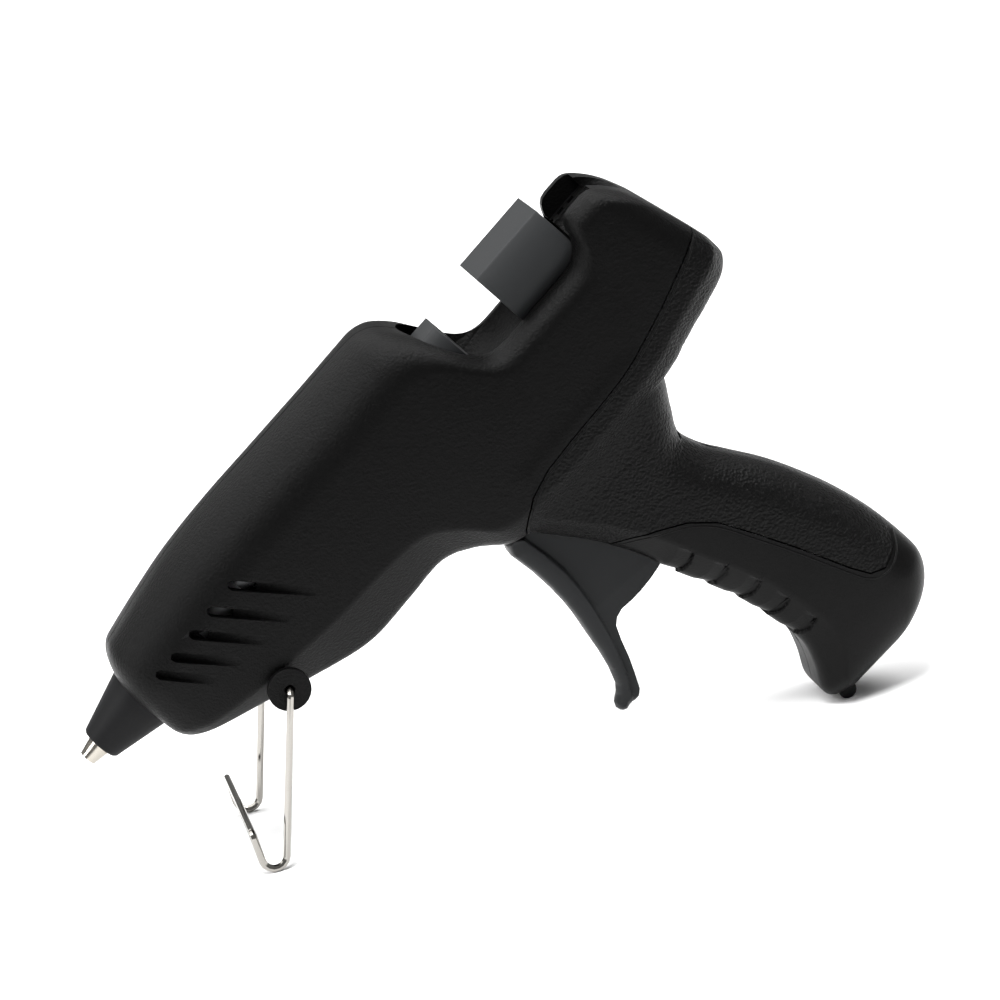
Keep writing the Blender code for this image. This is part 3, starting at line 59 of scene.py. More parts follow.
# The camera's place, and the directions in which it looks and has its right side, in that side view
CAMERA_U = 145.22 * MM
CAMERA_V = 231.51 * MM
CAMERA_W = 732.09 * MM
LOOK = (-0.0458307, -0.34202014, -0.93857433)
RIGHT = (0.65799732, -0.71727599, 0.22924808)
LENS_MM = 117.9
SENSOR_MM = 36.0
NEAR_CLIP = 0.05

# Edges under the first angle are shaded smooth, and faces within the second of each other become one
SMOOTH_ANGLE_DEG = 32.0
FLAT_ANGLE_DEG = 0.5

# The moulded shells of the housing, by the first part of their names
SHELLS = ("body_", "handle_", "finger_grip_")

# Trigger lever: the radius of its rolled front, the grid of its sides, and which faces are its sides
LEVER_ROLL = 4.5 * MM
LEVER_GRID = 0.9 * MM
LEVER_LEAST_W = 3.0 * MM
LEVER_FACING = 0.7

# The lever's front edge, from the top down round the foot, as shares of the gun's length and the grip's drop
LEVER_FRONT_SHARES = (
    (0.544, -0.320), (0.538, -0.338), (0.540, -0.387), (0.539, -0.433), (0.536, -0.474),
    (0.531, -0.513), (0.523, -0.555), (0.516, -0.595), (0.508, -0.630), (0.498, -0.660), (0.488, -0.674),
    (0.478, -0.682), (0.474, -0.692), (0.475, -0.702), (0.482, -0.709), (0.491, -0.706),
)

# The angle from which an edge is rounded, then the radius of each piece's moulded edges and the least
# distance from the middle of the gun where they are rounded
ROUNDED_EDGE_DEG = 50.0
ROUND_SEGMENTS = 4
EDGE_ROUNDS = {
    "feed_carriage": (0.5 * MM, 3.0 * MM),
    "front_collar": (0.4 * MM, 3.0 * MM),
    "stand_button_left": (0.5 * MM, 0.0),
    "stand_button_right": (0.5 * MM, 0.0),
}

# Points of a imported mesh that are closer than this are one
WELD = 0.02 * MM


def gun_point(u, v, w=0.0):
    """A place of the gun's side view in the model's frame."""
    return NOZZLE + ALONG * u + UPWARD * v + LEFTWARD * w


def gun_direction(u, v, w):
    return (ALONG * u + UPWARD * v + LEFTWARD * w).normalized()


# Colours and materials

# Every surface mirrors less than the shader's usual 0.5, so that the black stays as deep as the real gun's
SPECULAR_LEVEL = 0.09
ABS_IOR = 1.53

# Sizes of the marks. Each plastic's grain is given with its finish. The grain and the scuffs are drawn
# several times as coarse and deep as the real ones, because finer ones don't show at this size.
PLASTIC_PATCH_MM = 40.0
METAL_PATCH_MM = 10.0 / 3.0
SCUFF_MM = 10.0 / 9.0
SCUFF_DEPTH_MM = 0.02
GRAIN_STRENGTH = 0.6
SCUFF_STRENGTH = 0.15

# The part of its range that a noise really fills
NOISE_LOW = 0.3
NOISE_HIGH = 0.7


def linear(hex_code):
    """sRGB hex to the linear colour that the shaders take."""
    values = [int(hex_code[i:i + 2], 16) / 255.0 for i in (0, 2, 4)]
    return tuple(v / 12.92 if v <= 0.04045 else ((v + 0.055) / 1.055) ** 2.4 for v in values) + (1.0,)


def add(tree, kind, settings=None, **links):
    """Add a node, set its attributes and input values, and link sockets given as (node, output name)."""
    node = tree.nodes.new(kind)
    for name, value in (settings or {}).items():
        if name in node.inputs:
            node.inputs[name].default_value = value
        else:
            setattr(node, name, value)
    for name, (source, output) in links.items():
        tree.links.new(source.outputs[output], node.inputs[name.replace("_", " ")])
    return node


def pattern_scale(size_mm):
    """The scale that draws a pattern with marks of a size in millimetres."""
    return 1.0 / (size_mm * MM)


def new_material(name, color, roughness, **settings):
    """A Principled material with its base values; returns the material, its tree and its shader."""
    material = bpy.data.materials.new(name)
    material.use_nodes = True
    tree = material.node_tree
    shader = tree.nodes["Principled BSDF"]
    shader.inputs["Base Color"].default_value = linear(color)
    shader.inputs["Roughness"].default_value = roughness
    shader.inputs["Specular IOR Level"].default_value = SPECULAR_LEVEL
    for key, value in settings.items():
        shader.inputs[key.replace("_", " ")].default_value = value
    return material, tree, shader


def roughness_patches(tree, shader, source, low, high, patch_mm):
    """Broad, faint patches of gloss, as handling and moulding leave."""
    noise = {"Scale": pattern_scale(patch_mm), "Detail": 3.0}
    patches = add(tree, "ShaderNodeTexNoise", noise, Vector=source)
    spread = {"From Min": NOISE_LOW, "From Max": NOISE_HIGH, "To Min": low, "To Max": high}
    gloss = add(tree, "ShaderNodeMapRange", spread, Value=(patches, "Fac"))
    tree.links.new(gloss.outputs["Result"], shader.inputs["Roughness"])


def grained_plastic(name, color, low, high, grain_mm, depth_mm, leathery=False):
    """Moulded plastic: its mould leaves an even grain that breaks up the shine.

    The roughness runs from low to high. A leathery grain has small rounded cells as well.
    """
    material, tree, shader = new_material(name, color, (low + high) / 2.0, IOR=ABS_IOR)
    place = add(tree, "ShaderNodeTexCoord")
    roughness_patches(tree, shader, (place, "Object"), low, high, PLASTIC_PATCH_MM)
    scale = pattern_scale(grain_mm)
    grain = add(tree, "ShaderNodeTexNoise", {"Scale": scale, "Detail": 4.0, "Roughness": 0.6},
                Vector=(place, "Object"))
    height = (grain, "Fac")
    if leathery:
        cells = add(tree, "ShaderNodeTexVoronoi", {"Scale": scale, "feature": "SMOOTH_F1"},
                    Vector=(place, "Object"))
        mixed = add(tree, "ShaderNodeMath", {"operation": "ADD"})
        tree.links.new(grain.outputs["Fac"], mixed.inputs[0])
        tree.links.new(cells.outputs["Distance"], mixed.inputs[1])
        height = (mixed, "Value")
    bump = add(tree, "ShaderNodeBump", {"Strength": GRAIN_STRENGTH, "Distance": depth_mm * MM}, Height=height)
    tree.links.new(bump.outputs["Normal"], shader.inputs["Normal"])
    return material


def scuffed_metal(name, color, low, high):
    """Bright metal: patches of gloss from low to high, with faint scuffs that soften the reflections."""
    material, tree, shader = new_material(name, color, (low + high) / 2.0, Metallic=1.0)
    place = add(tree, "ShaderNodeTexCoord")
    roughness_patches(tree, shader, (place, "Object"), low, high, METAL_PATCH_MM)
    scuffs = add(tree, "ShaderNodeTexNoise", {"Scale": pattern_scale(SCUFF_MM), "Detail": 3.0},
                 Vector=(place, "Object"))
    bump = add(tree, "ShaderNodeBump", {"Strength": SCUFF_STRENGTH, "Distance": SCUFF_DEPTH_MM * MM},
               Height=(scuffs, "Fac"))
    tree.links.new(bump.outputs["Normal"], shader.inputs["Normal"])
    return material


def make_finishes():
    """One finish for each slot: its name, colour, least and most roughness, and a plastic's grain in mm."""
    return {
        # Moulded ABS from a spark-eroded mould: black body with an even grain that breaks its highlights up
        "black_abs": grained_plastic("fine_grained_black_abs", "070707", 0.34, 0.44, 0.6, 0.42),
        # Moulded ABS from an etched mould: a leather-like grain, so the handle looks coarser than the body
        "grained_abs": grained_plastic("leather_grained_black_abs", "080808", 0.34, 0.44, 0.65, 0.55, True),
        # Moulded ABS from a stoned mould: nearly plain, with soft satin highlights on the finger grip
        "grip_abs": grained_plastic("satin_black_abs", "070707", 0.32, 0.42, 0.45, 0.12),
        # Moulded nylon, mid grey all through: the collar and the carriage stand out from the black
        "grey_nylon": grained_plastic("mid_grey_nylon", "2E2F30", 0.36, 0.46, 0.4, 0.02),
        # Moulded nylon, dark grey all through: the trigger looks a little lighter than the body
        "dark_grey_nylon": grained_plastic("dark_grey_nylon", "222324", 0.36, 0.46, 0.4, 0.02),
        # Moulded heat-resistant nylon: a dull dark cone round the bright tip
        "sleeve_nylon": grained_plastic("heat_resistant_nylon", "131314", 0.46, 0.56, 0.3, 0.03),
        # Turned brass with nickel plate: warm and bright, with short sharp highlights
        "nickel_plate": scuffed_metal("nickel_plated_brass", "A8A39A", 0.14, 0.26),
        # Drawn and polished steel wire: nearly a mirror, with long thin highlights
        "polished_wire": scuffed_metal("polished_steel_wire", "9C9994", 0.08, 0.16),
        # Aluminium as it leaves the die: pale and dull
        "cast_aluminium": scuffed_metal("cast_aluminium", "B9BBBD", 0.35, 0.5),
        # Pressed aluminium sheet, a little yellowed by heat: softly shining
        "heater_case": scuffed_metal("heater_case_aluminium", "C4BCAE", 0.3, 0.4),
        # Moulded silicone rubber: red and dull, with hardly any grain
        "silicone": grained_plastic("red_silicone", "8E2A20", 0.5, 0.6, 0.5, 0.02),
        # Steel with zinc plate: cool and softly shining, on the pins, screws, link, clip and spring
        "spring_steel": scuffed_metal("zinc_plated_steel", "A5A6A8", 0.2, 0.3),
    }


# The outer skins of the housing are two lofts, one for the body and one for the grip, on the stations of the
# shells, with many more rows and corner points. The shells' outer faces are drawn onto them.

GUN_LENGTH = 188.0 * MM
GRIP_DROP = 135.0 * MM
BODY_HALF_WIDTH = 17.0 * MM
GRIP_HALF_WIDTH = 14.2 * MM
KEEL_CORNER_SHARE = 0.55
ARC_REACH_SHARE = 0.95
TOP_CORNER_POINTS = 14
KEEL_CORNER_POINTS = 6
ROWS_PER_STATION = 6

# A shell's outer face lies within this reach of a skin and faces the way that the skin does. It is marked 1
# for the body's skin and 2 for the grip's, and all other faces are marked 0.
SKIN_REACH = 0.6 * MM
SKIN_FACING = 0.75
GRIP_SKIN = 2

# The outer faces are cut down to this grid, in at most so many rounds. A point where the skins meet is drawn
# onto both in turn, a few times over. Within the fillet's reach the shading passes from skin to skin.
SHELL_GRID = 2.0 * MM
REFINE_ROUNDS = 6
MEETING_PASSES = 3
FILLET_REACH = 7.0 * MM

# The finger grip's scales: a step down the front of the grip at the end of each, after a sunk ramp
PAD_GRID = 0.7 * MM
PAD_SKIN_REACH = 1.3 * MM
PAD_SKIN_FACING = 0.5
SCALE_END_SHARES = (-0.582, -0.648, -0.710, -0.770, -0.833)
SCALE_SLOPE_SHARE = 0.02
SCALE_RAMP = 4.4 * MM
SCALE_DEPTH = 0.75 * MM
SCALE_WIDTH = 7.0 * MM
SCALE_BULGE = 1.3 * MM
SCALE_EDGE = 0.9 * MM

# The raised lips that run beside the two seams, laid on the skins by rays from well outside the shells
LIP_RADIUS = 0.28 * MM
LIP_SUNK = 0.12 * MM
LIP_RAY_START = 4.0 * BODY_HALF_WIDTH
SIDE_LIP_OFFSET = -1.0 * MM
PAD_LIP_OFFSET = -1.2 * MM
SIDE_SEAM_SHARES = (
    (0.559, -0.440), (0.560, -0.400), (0.567, -0.326), (0.578, -0.296), (0.595, -0.276), (0.616, -0.259),
    (0.653, -0.246), (0.701, -0.242), (0.759, -0.240), (0.798, -0.237), (0.827, -0.231), (0.898, -0.206),
    (0.954, -0.181), (0.985, -0.165),
)
PAD_SEAM_SHARES = (
    (0.636, -0.449), (0.659, -0.465), (0.684, -0.486), (0.717, -0.519), (0.743, -0.563),
    (0.765, -0.637), (0.786, -0.713), (0.810, -0.810), (0.822, -0.847), (0.840, -0.862), (0.865, -0.855),
    (0.880, -0.838),
)
SEAM_LIPS = (
    ("body_seam_lip_", SIDE_SEAM_SHARES, SIDE_LIP_OFFSET, "black_abs"),
    ("pad_seam_lip_", PAD_SEAM_SHARES, PAD_LIP_OFFSET, "grip_abs"),
)

# Each body station: top u, top v, bottom u, bottom v, half-width, top corner, keel half-width, keel height.
# u is a share of the gun's length and v of the grip's drop; the rest are shares of the body's half-width.
BODY_STATION_SHARES = (
    (0.102, 0.040, 0.102, -0.060, 0.41, 0.32, 0.32, 0.15),
    (0.106, 0.065, 0.104, -0.080, 0.65, 0.53, 0.47, 0.18),
    (0.115, 0.091, 0.112, -0.094, 0.80, 0.68, 0.59, 0.21),
    (0.129, 0.110, 0.127, -0.109, 0.89, 0.79, 0.65, 0.24),
    (0.150, 0.117, 0.150, -0.124, 0.95, 0.85, 0.68, 0.26),
    (0.202, 0.129, 0.202, -0.155, 0.99, 0.89, 0.65, 0.38),
    (0.266, 0.141, 0.266, -0.195, 1.00, 0.92, 0.59, 0.59),
    (0.346, 0.146, 0.343, -0.234, 1.00, 0.93, 0.53, 0.79),
    (0.436, 0.145, 0.415, -0.236, 1.00, 0.93, 0.53, 0.76),
    (0.521, 0.144, 0.479, -0.234, 1.00, 0.93, 0.56, 0.65),
    (0.564, 0.144, 0.519, -0.261, 1.00, 0.92, 0.65, 0.53),
    (0.596, 0.143, 0.553, -0.304, 1.00, 0.88, 0.71, 0.41),
    (0.622, 0.140, 0.590, -0.319, 1.00, 0.82, 0.74, 0.38),
    (0.644, 0.124, 0.622, -0.323, 1.00, 0.74, 0.74, 0.38),
    (0.663, 0.088, 0.649, -0.326, 1.00, 0.62, 0.74, 0.38),
    (0.676, 0.050, 0.670, -0.327, 1.00, 0.53, 0.74, 0.38),
    (0.693, 0.001, 0.691, -0.328, 1.00, 0.45, 0.74, 0.38),
    (0.709, -0.031, 0.713, -0.328, 1.00, 0.39, 0.74, 0.38),
    (0.732, -0.046, 0.734, -0.327, 1.00, 0.35, 0.74, 0.38),
    (0.777, -0.047, 0.777, -0.324, 1.00, 0.35, 0.74, 0.38),
    (0.851, -0.046, 0.856, -0.310, 1.00, 0.36, 0.74, 0.38),
    (0.871, -0.036, 0.880, -0.301, 1.00, 0.36, 0.74, 0.38),
    (0.884, -0.016, 0.896, -0.296, 1.00, 0.35, 0.74, 0.38),
    (0.893, 0.008, 0.910, -0.291, 1.00, 0.33, 0.74, 0.38),
    (0.903, 0.021, 0.926, -0.287, 1.00, 0.32, 0.74, 0.38),
    (0.922, 0.023, 0.947, -0.280, 1.00, 0.31, 0.74, 0.38),
    (0.943, 0.020, 0.970, -0.272, 0.99, 0.31, 0.71, 0.35),
    (0.959, -0.002, 0.986, -0.263, 0.94, 0.32, 0.65, 0.32),
    (0.972, -0.032, 1.000, -0.244, 0.85, 0.33, 0.56, 0.29),
    (0.982, -0.070, 1.002, -0.208, 0.68, 0.33, 0.47, 0.24),
)

# Each grip station: back u, back v, front u, front v, half-width, back corner, front half-width, front taper
GRIP_STATION_SHARES = (
    (0.840, -0.222, 0.596, -0.222, 0.99, 0.70, 0.63, 0.42),
    (0.842, -0.307, 0.572, -0.300, 0.99, 0.74, 0.63, 0.42),
    (0.818, -0.367, 0.593, -0.356, 0.96, 0.77, 0.63, 0.42),
    (0.797, -0.419, 0.618, -0.415, 0.93, 0.81, 0.63, 0.42),
    (0.803, -0.474, 0.635, -0.467, 0.92, 0.81, 0.60, 0.46),
    (0.822, -0.530, 0.649, -0.522, 0.92, 0.81, 0.56, 0.49),
    (0.844, -0.591, 0.658, -0.578, 0.92, 0.81, 0.56, 0.53),
    (0.862, -0.658, 0.672, -0.637, 0.93, 0.81, 0.56, 0.56),
    (0.877, -0.730, 0.687, -0.711, 0.95, 0.81, 0.56, 0.56),
    (0.887, -0.807, 0.695, -0.785, 0.98, 0.81, 0.60, 0.56),
    (0.890, -0.874, 0.698, -0.856, 1.00, 0.81, 0.63, 0.56),
    (0.887, -0.924, 0.686, -0.907, 0.99, 0.77, 0.63, 0.53),
    (0.867, -0.963, 0.668, -0.952, 0.90, 0.70, 0.60, 0.46),
    (0.832, -0.990, 0.670, -0.979, 0.73, 0.56, 0.49, 0.35),
    (0.797, -1.004, 0.690, -0.997, 0.46, 0.35, 0.32, 0.21),
)


def rounded_corner(corner, before, after, radius, count):
    """Points of an arc of the given radius that replaces a corner of a flat outline of (s, w) pairs."""
    back = (before - corner).normalized()
    ahead = (after - corner).normalized()
    half = back.angle(ahead) / 2.0
    reach = radius / math.tan(half)
    reach = min(reach, (before - corner).length * ARC_REACH_SHARE, (after - corner).length * ARC_REACH_SHARE)
    true_radius = reach * math.tan(half)
    center = corner + (back + ahead).normalized() * (true_radius / math.sin(half))
    first = corner + back * reach - center
    last = corner + ahead * reach - center
    sweep = first.angle(last)
    points = []
    for i in range(count):
        turn = sweep * i / (count - 1)
        blend = first * math.sin(sweep - turn) + last * math.sin(turn)
        points.append(center + blend / math.sin(sweep))
    return points


def section(row, half_width):
    """The closed outline of the housing at one station."""
    top_u, top_v, bottom_u, bottom_v, *spans = row
    top = gun_point(top_u * GUN_LENGTH, top_v * GRIP_DROP)
    bottom = gun_point(bottom_u * GUN_LENGTH, bottom_v * GRIP_DROP)
    width, top_corner, keel_half, keel_height = (share * half_width for share in spans)
    height = (bottom - top).length
    down = (bottom - top).normalized()
    corners = [
        Vector((0.0, 0.0)), Vector((0.0, width)), Vector((height - keel_height, width)),
        Vector((height, keel_half)), Vector((height, 0.0)),
    ]
    keel_corner = keel_half * KEEL_CORNER_SHARE
    side = [corners[0]]
    side += rounded_corner(corners[1], corners[0], corners[2], top_corner, TOP_CORNER_POINTS)
    side += rounded_corner(corners[2], corners[1], corners[3], keel_corner / 2.0, KEEL_CORNER_POINTS)
    side += rounded_corner(corners[3], corners[2], corners[4], keel_corner, KEEL_CORNER_POINTS)
    side.append(corners[4])
    ring = [top + down * point.x + LEFTWARD * point.y for point in side]
    return ring + [top + down * point.x - LEFTWARD * point.y for point in reversed(side[1:-1])]


def smooth_rows(table):
    """Rows between the stations, on curves that pass through every station."""
    rows = []
    for i in range(len(table) - 1):
        before = table[max(i - 1, 0)]
        after = table[min(i + 2, len(table) - 1)]
        for k in range(ROWS_PER_STATION):
            t = k / ROWS_PER_STATION
            row = []
            for p0, p1, p2, p3 in zip(before, table[i], table[i + 1], after):
                bend = (2.0 * p0 - 5.0 * p1 + 4.0 * p2 - p3) * t * t + (3.0 * (p1 - p2) + p3 - p0) * t ** 3
                row.append(p1 + ((p2 - p0) * t + bend) / 2.0)
            rows.append(row)
    return rows + [table[-1]]


class Skin:
    """A smooth outer surface that shells are drawn onto, with its own even normals."""

    def __init__(self, table, half_width):
        form = bmesh.new()
        rings = [[form.verts.new(point) for point in section(row, half_width)] for row in smooth_rows(table)]
        for ring, following in zip(rings, rings[1:]):
            for i in range(len(ring)):
                ahead = (i + 1) % len(ring)
                form.faces.new((ring[i], ring[ahead], following[ahead], following[i]))
        form.faces.new(list(reversed(rings[0])))
        form.faces.new(rings[-1])
        bmesh.ops.recalc_face_normals(form, faces=form.faces)
        form.faces.ensure_lookup_table()
        self.form = form
        self.tree = BVHTree.FromBMesh(form)

    def nearest(self, point):
        """The closest place on the skin, its even normal there, and how far outside it the point is."""
        place, _, index, _ = self.tree.find_nearest(point)
        corners = self.form.faces[index].verts
        weights = poly_3d_calc([vert.co for vert in corners], place)
        normal = sum((vert.normal * weight for vert, weight in zip(corners, weights)), Vector()).normalized()
        return place, normal, (point - place).dot(normal)


def refine(form, mark_layer, grid):
    """Cut the marked faces down to an even grid that can follow a curve."""
    for _ in range(REFINE_ROUNDS):
        edges = [edge for edge in form.edges
                 if edge.calc_length() > grid and any(face[mark_layer] for face in edge.link_faces)]
        if not edges:
            break
        bmesh.ops.subdivide_edges(form, edges=edges, cuts=1, use_grid_fill=True)
        bmesh.ops.triangulate(form, faces=[face for face in form.faces if len(face.verts) > 3])


def draw_onto_skins(form, skin_layer, skins, reach):
    """Move the outer faces' points onto their skin, and those where two skins meet onto both."""
    for vert in form.verts:
        kinds = {face[skin_layer] for face in vert.link_faces} - {0}
        for _ in range(MEETING_PASSES if len(kinds) > 1 else 1):
            for kind in sorted(kinds):
                place, _, away = skins[kind - 1].nearest(vert.co)
                if abs(away) < reach:
                    vert.co = place


def shell_normals(form, skin_layer, skins):
    """Each corner's normal: its skin's on outer faces, turned into the other skin's near where they meet."""
    normals = []
    for face in form.faces:
        kind = face[skin_layer]
        for loop in face.loops:
            if not kind:
                normals.append(Vector((0.0, 0.0, 0.0)))
                continue
            own = skins[kind - 1].nearest(loop.vert.co)[1]
            other_skin = skins[GRIP_SKIN - kind]
            _, other, away = other_skin.nearest(loop.vert.co)
            share = max(0.0, 1.0 - max(away, 0.0) / FILLET_REACH)
            normals.append(own.lerp(other, share * share / 2.0).normalized())
    return normals


def mark_outer_faces(form, skin_layer, skins, reach, facing):
    """Find the faces of a shell that are part of a skin: 1 is the body's, 2 the grip's, 0 none."""
    for face in form.faces:
        face[skin_layer] = 0
        for kind, skin in enumerate(skins, 1):
            _, outward, _ = skin.nearest(face.calc_center_median())
            farthest = max(abs(skin.nearest(vert.co)[2]) for vert in face.verts)
            if farthest < reach and face.normal.dot(outward) > facing:
                face[skin_layer] = kind


def grip_front(share_v):
    """The front edge of the grip at a height."""
    for high, low in zip(GRIP_STATION_SHARES, GRIP_STATION_SHARES[1:]):
        if low[3] <= share_v:
            break
    part = (share_v - high[3]) / (low[3] - high[3])
    return gun_point((high[2] + (low[2] - high[2]) * part) * GUN_LENGTH, share_v * GRIP_DROP)


def scale_depth(point):
    """How deep the nearest finger scale is sunk at a point of the grip."""
    flat = Vector((point.x, 0.0, point.z))
    for end_share in SCALE_END_SHARES:
        end = grip_front(end_share)
        down = (grip_front(end_share - SCALE_SLOPE_SHARE) - end).normalized()
        inward = Vector((-down.z, 0.0, down.x))
        if inward.dot(ALONG) < 0.0:
            inward = -inward
        ahead = (flat - end).dot(down)
        across = (flat - end).dot(inward)
        step = SCALE_BULGE * math.sin(math.pi * min(max(across / SCALE_WIDTH, 0.0), 1.0))
        if across < SCALE_WIDTH and step - SCALE_RAMP < ahead < step:
            fade = min(1.0, (SCALE_WIDTH - across) / SCALE_EDGE)
            return SCALE_DEPTH * fade * (ahead - step + SCALE_RAMP) / SCALE_RAMP
    return 0.0


def sink_scales(form, skin_layer, skins, normals):
    """Carve the finger scales into the grip's outer faces, and shade them with their own faces' normals."""
    for vert in form.verts:
        if any(face[skin_layer] == GRIP_SKIN for face in vert.link_faces):
            depth = scale_depth(vert.co)
            if depth:
                vert.co -= skins[GRIP_SKIN - 1].nearest(vert.co)[1] * depth
    form.normal_update()
    corners = ((face, loop) for face in form.faces for loop in face.loops)
    for i, (face, loop) in enumerate(corners):
        if face[skin_layer] and scale_depth(loop.vert.co):
            normals[i] = face.normal.copy()


def shell_surface(node, skins):
    """A housing shell with its outer faces drawn onto the smooth skins."""
    pad = node.startswith("finger_grip_")
    reach = PAD_SKIN_REACH if pad else SKIN_REACH
    form = bmesh.new()
    form.from_mesh(NODES[node].data)
    bmesh.ops.remove_doubles(form, verts=form.verts, dist=WELD)
    skin_layer = form.faces.layers.int.new("skin")
    mark_outer_faces(form, skin_layer, skins, reach, PAD_SKIN_FACING if pad else SKIN_FACING)
    refine(form, skin_layer, PAD_GRID if pad else SHELL_GRID)
    draw_onto_skins(form, skin_layer, skins, reach)
    normals = shell_normals(form, skin_layer, skins)
    if pad:
        sink_scales(form, skin_layer, skins, normals)
    for face in form.faces:
        # Outer faces take the slot's finish. All other faces take the second material, whose darker colour is
        # painted shade
        face.material_index = 0 if face[skin_layer] else 1
    for edge in form.edges:
        outer = [face[skin_layer] > 0 for face in edge.link_faces]
        gentle = edge.calc_face_angle(0.0) < math.radians(SMOOTH_ANGLE_DEG)
        edge.smooth = all(outer) or (gentle and not any(outer))
    mesh = bpy.data.meshes.new(node + "_surface")
    form.to_mesh(mesh)
    form.free()
    mesh.polygons.foreach_set("use_smooth", [True] * len(mesh.polygons))
    mesh.normals_split_custom_set(normals)
    return mesh


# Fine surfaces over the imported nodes

def node_body(node):
    for body, members in frame["record"]["behaviour"]["bodies"].items():
        if node in members:
            return body
    return "gun"


def even_surface(node):
    """The node's own shape with its moulded edges rounded and even shading between the real ones."""
    form = bmesh.new()
    form.from_mesh(NODES[node].data)
    bmesh.ops.remove_doubles(form, verts=form.verts, dist=WELD)
    flat = math.radians(FLAT_ANGLE_DEG)
    bmesh.ops.dissolve_limit(form, angle_limit=flat, verts=form.verts, edges=form.edges)
    if node in EDGE_ROUNDS:
        radius, least_w = EDGE_ROUNDS[node]
        edges = []
        for edge in form.edges:
            middle = (edge.verts[0].co + edge.verts[1].co) / 2.0
            sharp = edge.is_manifold and edge.calc_face_angle(0.0) > math.radians(ROUNDED_EDGE_DEG)
            if sharp and edge.is_convex and abs(middle.y) > least_w:
                edges.append(edge)
        bmesh.ops.bevel(form, geom=edges, offset=radius, segments=ROUND_SEGMENTS, profile=0.5,
                        affect="EDGES", clamp_overlap=True)
    mesh = bpy.data.meshes.new(node + "_surface")
    form.to_mesh(mesh)
    form.free()
    mesh.shade_smooth()
    mesh.set_sharp_from_angle(angle=math.radians(SMOOTH_ANGLE_DEG))
    return mesh


def lever_inset(point):
    """How far the lever's side is drawn in at a point, so that its front is a round roll."""
    flat = Vector((point.x, 0.0, point.z))
    line = [gun_point(u * GUN_LENGTH, v * GRIP_DROP) for u, v in LEVER_FRONT_SHARES]
    reach = LEVER_ROLL
    for start, end in zip(line, line[1:]):
        part = min(max((flat - start).dot(end - start) / (end - start).length_squared, 0.0), 1.0)
        reach = min(reach, (flat - start.lerp(end, part)).length)
    return LEVER_ROLL - math.sqrt(LEVER_ROLL ** 2 - (LEVER_ROLL - reach) ** 2)


def trigger_surface():
    """The trigger with the front of its lever rolled round."""
    form = bmesh.new()
    form.from_mesh(NODES["trigger"].data)
    bmesh.ops.remove_doubles(form, verts=form.verts, dist=WELD)
    side_layer = form.faces.layers.int.new("side")
    for face in form.faces:
        sideways = abs(face.normal.y) > LEVER_FACING
        face[side_layer] = int(sideways and abs(face.calc_center_median().y) > LEVER_LEAST_W)
    refine(form, side_layer, LEVER_GRID)
    for vert in form.verts:
        if any(face[side_layer] for face in vert.link_faces):
            vert.co.y -= math.copysign(lever_inset(vert.co), vert.co.y)
    mesh = bpy.data.meshes.new("trigger_surface")
    form.to_mesh(mesh)
    form.free()
    mesh.shade_smooth()
    mesh.set_sharp_from_angle(angle=math.radians(SMOOTH_ANGLE_DEG))
    return mesh


def stand_for(node, mesh, materials):
    """Show the finer mesh in place of a node, on the node's body and with its finish."""
    mesh.materials.clear()
    for material in materials:
        mesh.materials.append(material)
    piece = bpy.data.objects.new(node + "_surface", mesh)
    bpy.context.scene.collection.objects.link(piece)
    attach(piece, node_body(node))
    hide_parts(node)
    return piece


def seam_lip(name, shares, offset, side, skins, material):
    """A thin raised lip along a seam, laid on the skin of one side."""
    rows = smooth_rows(shares)
    points = [gun_point(u * GUN_LENGTH, v * GRIP_DROP) for u, v in rows]
    curve = bpy.data.curves.new(name, "CURVE")
    curve.dimensions = "3D"
    curve.bevel_depth = LIP_RADIUS
    curve.bevel_resolution = 2
    curve.use_fill_caps = True
    out = LEFTWARD * side
    laid = []
    for i, point in enumerate(points):
        along = (points[min(i + 1, len(points) - 1)] - points[max(i - 1, 0)]).normalized()
        start = point + LEFTWARD.cross(along) * offset + out * LIP_RAY_START
        hits = [skin.tree.ray_cast(start, -out) for skin in skins]
        near = [hit for hit in hits if hit[0] is not None]
        if near:
            place, normal = min(near, key=lambda hit: hit[3])[:2]
            laid.append(place - normal * LIP_SUNK)
    spline = curve.splines.new("POLY")
    spline.points.add(len(laid) - 1)
    for spline_point, place in zip(spline.points, laid):
        spline_point.co = (*place, 1.0)
    curve.materials.append(material)
    lip = bpy.data.objects.new(name, curve)
    bpy.context.scene.collection.objects.link(lip)
    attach(lip, "gun")


def dress_nodes(finishes):
    """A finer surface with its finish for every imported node, and the lips beside the seams."""
    skins = (Skin(BODY_STATION_SHARES, BODY_HALF_WIDTH), Skin(GRIP_STATION_SHARES, GRIP_HALF_WIDTH))
    for side, word in ((1.0, "left"), (-1.0, "right")):
        for name, shares, offset, slot in SEAM_LIPS:
            seam_lip(name + word, shares, offset, side, skins, finishes[slot])
    # The shells' inner faces come from an unpolished mould, so they are dull. They are the same ABS as the outer
    # faces, but coloured darker than that black as painted shade, so the vents and the channel look deep and dark
    painted_shade_inner_finish = grained_plastic("unpolished_abs_with_painted_shade", "040404", 0.6, 0.7, 0.45, 0.10)
    for entry in frame["record"]["subparts"]:
        node = entry["node"]
        slot = entry["material_slot"]
        if node.startswith(SHELLS):
            stand_for(node, shell_surface(node, skins), (finishes[slot], painted_shade_inner_finish))
        else:
            mesh = trigger_surface() if node == "trigger" else even_surface(node)
            piece = stand_for(node, mesh, (finishes[slot],))
            weights = piece.modifiers.new("even_shading", "WEIGHTED_NORMAL")
            weights.keep_sharp = True


# Studio. The paper ends a little in front of the gun, so the gun's side mirrors the dim room
# and not the paper.

FLOOR_HALF = 3.0
FLOOR_FRONT = 0.22
ROOM_LEVEL = 0.25
WHITE = (1.0, 1.0, 1.0, 1.0)

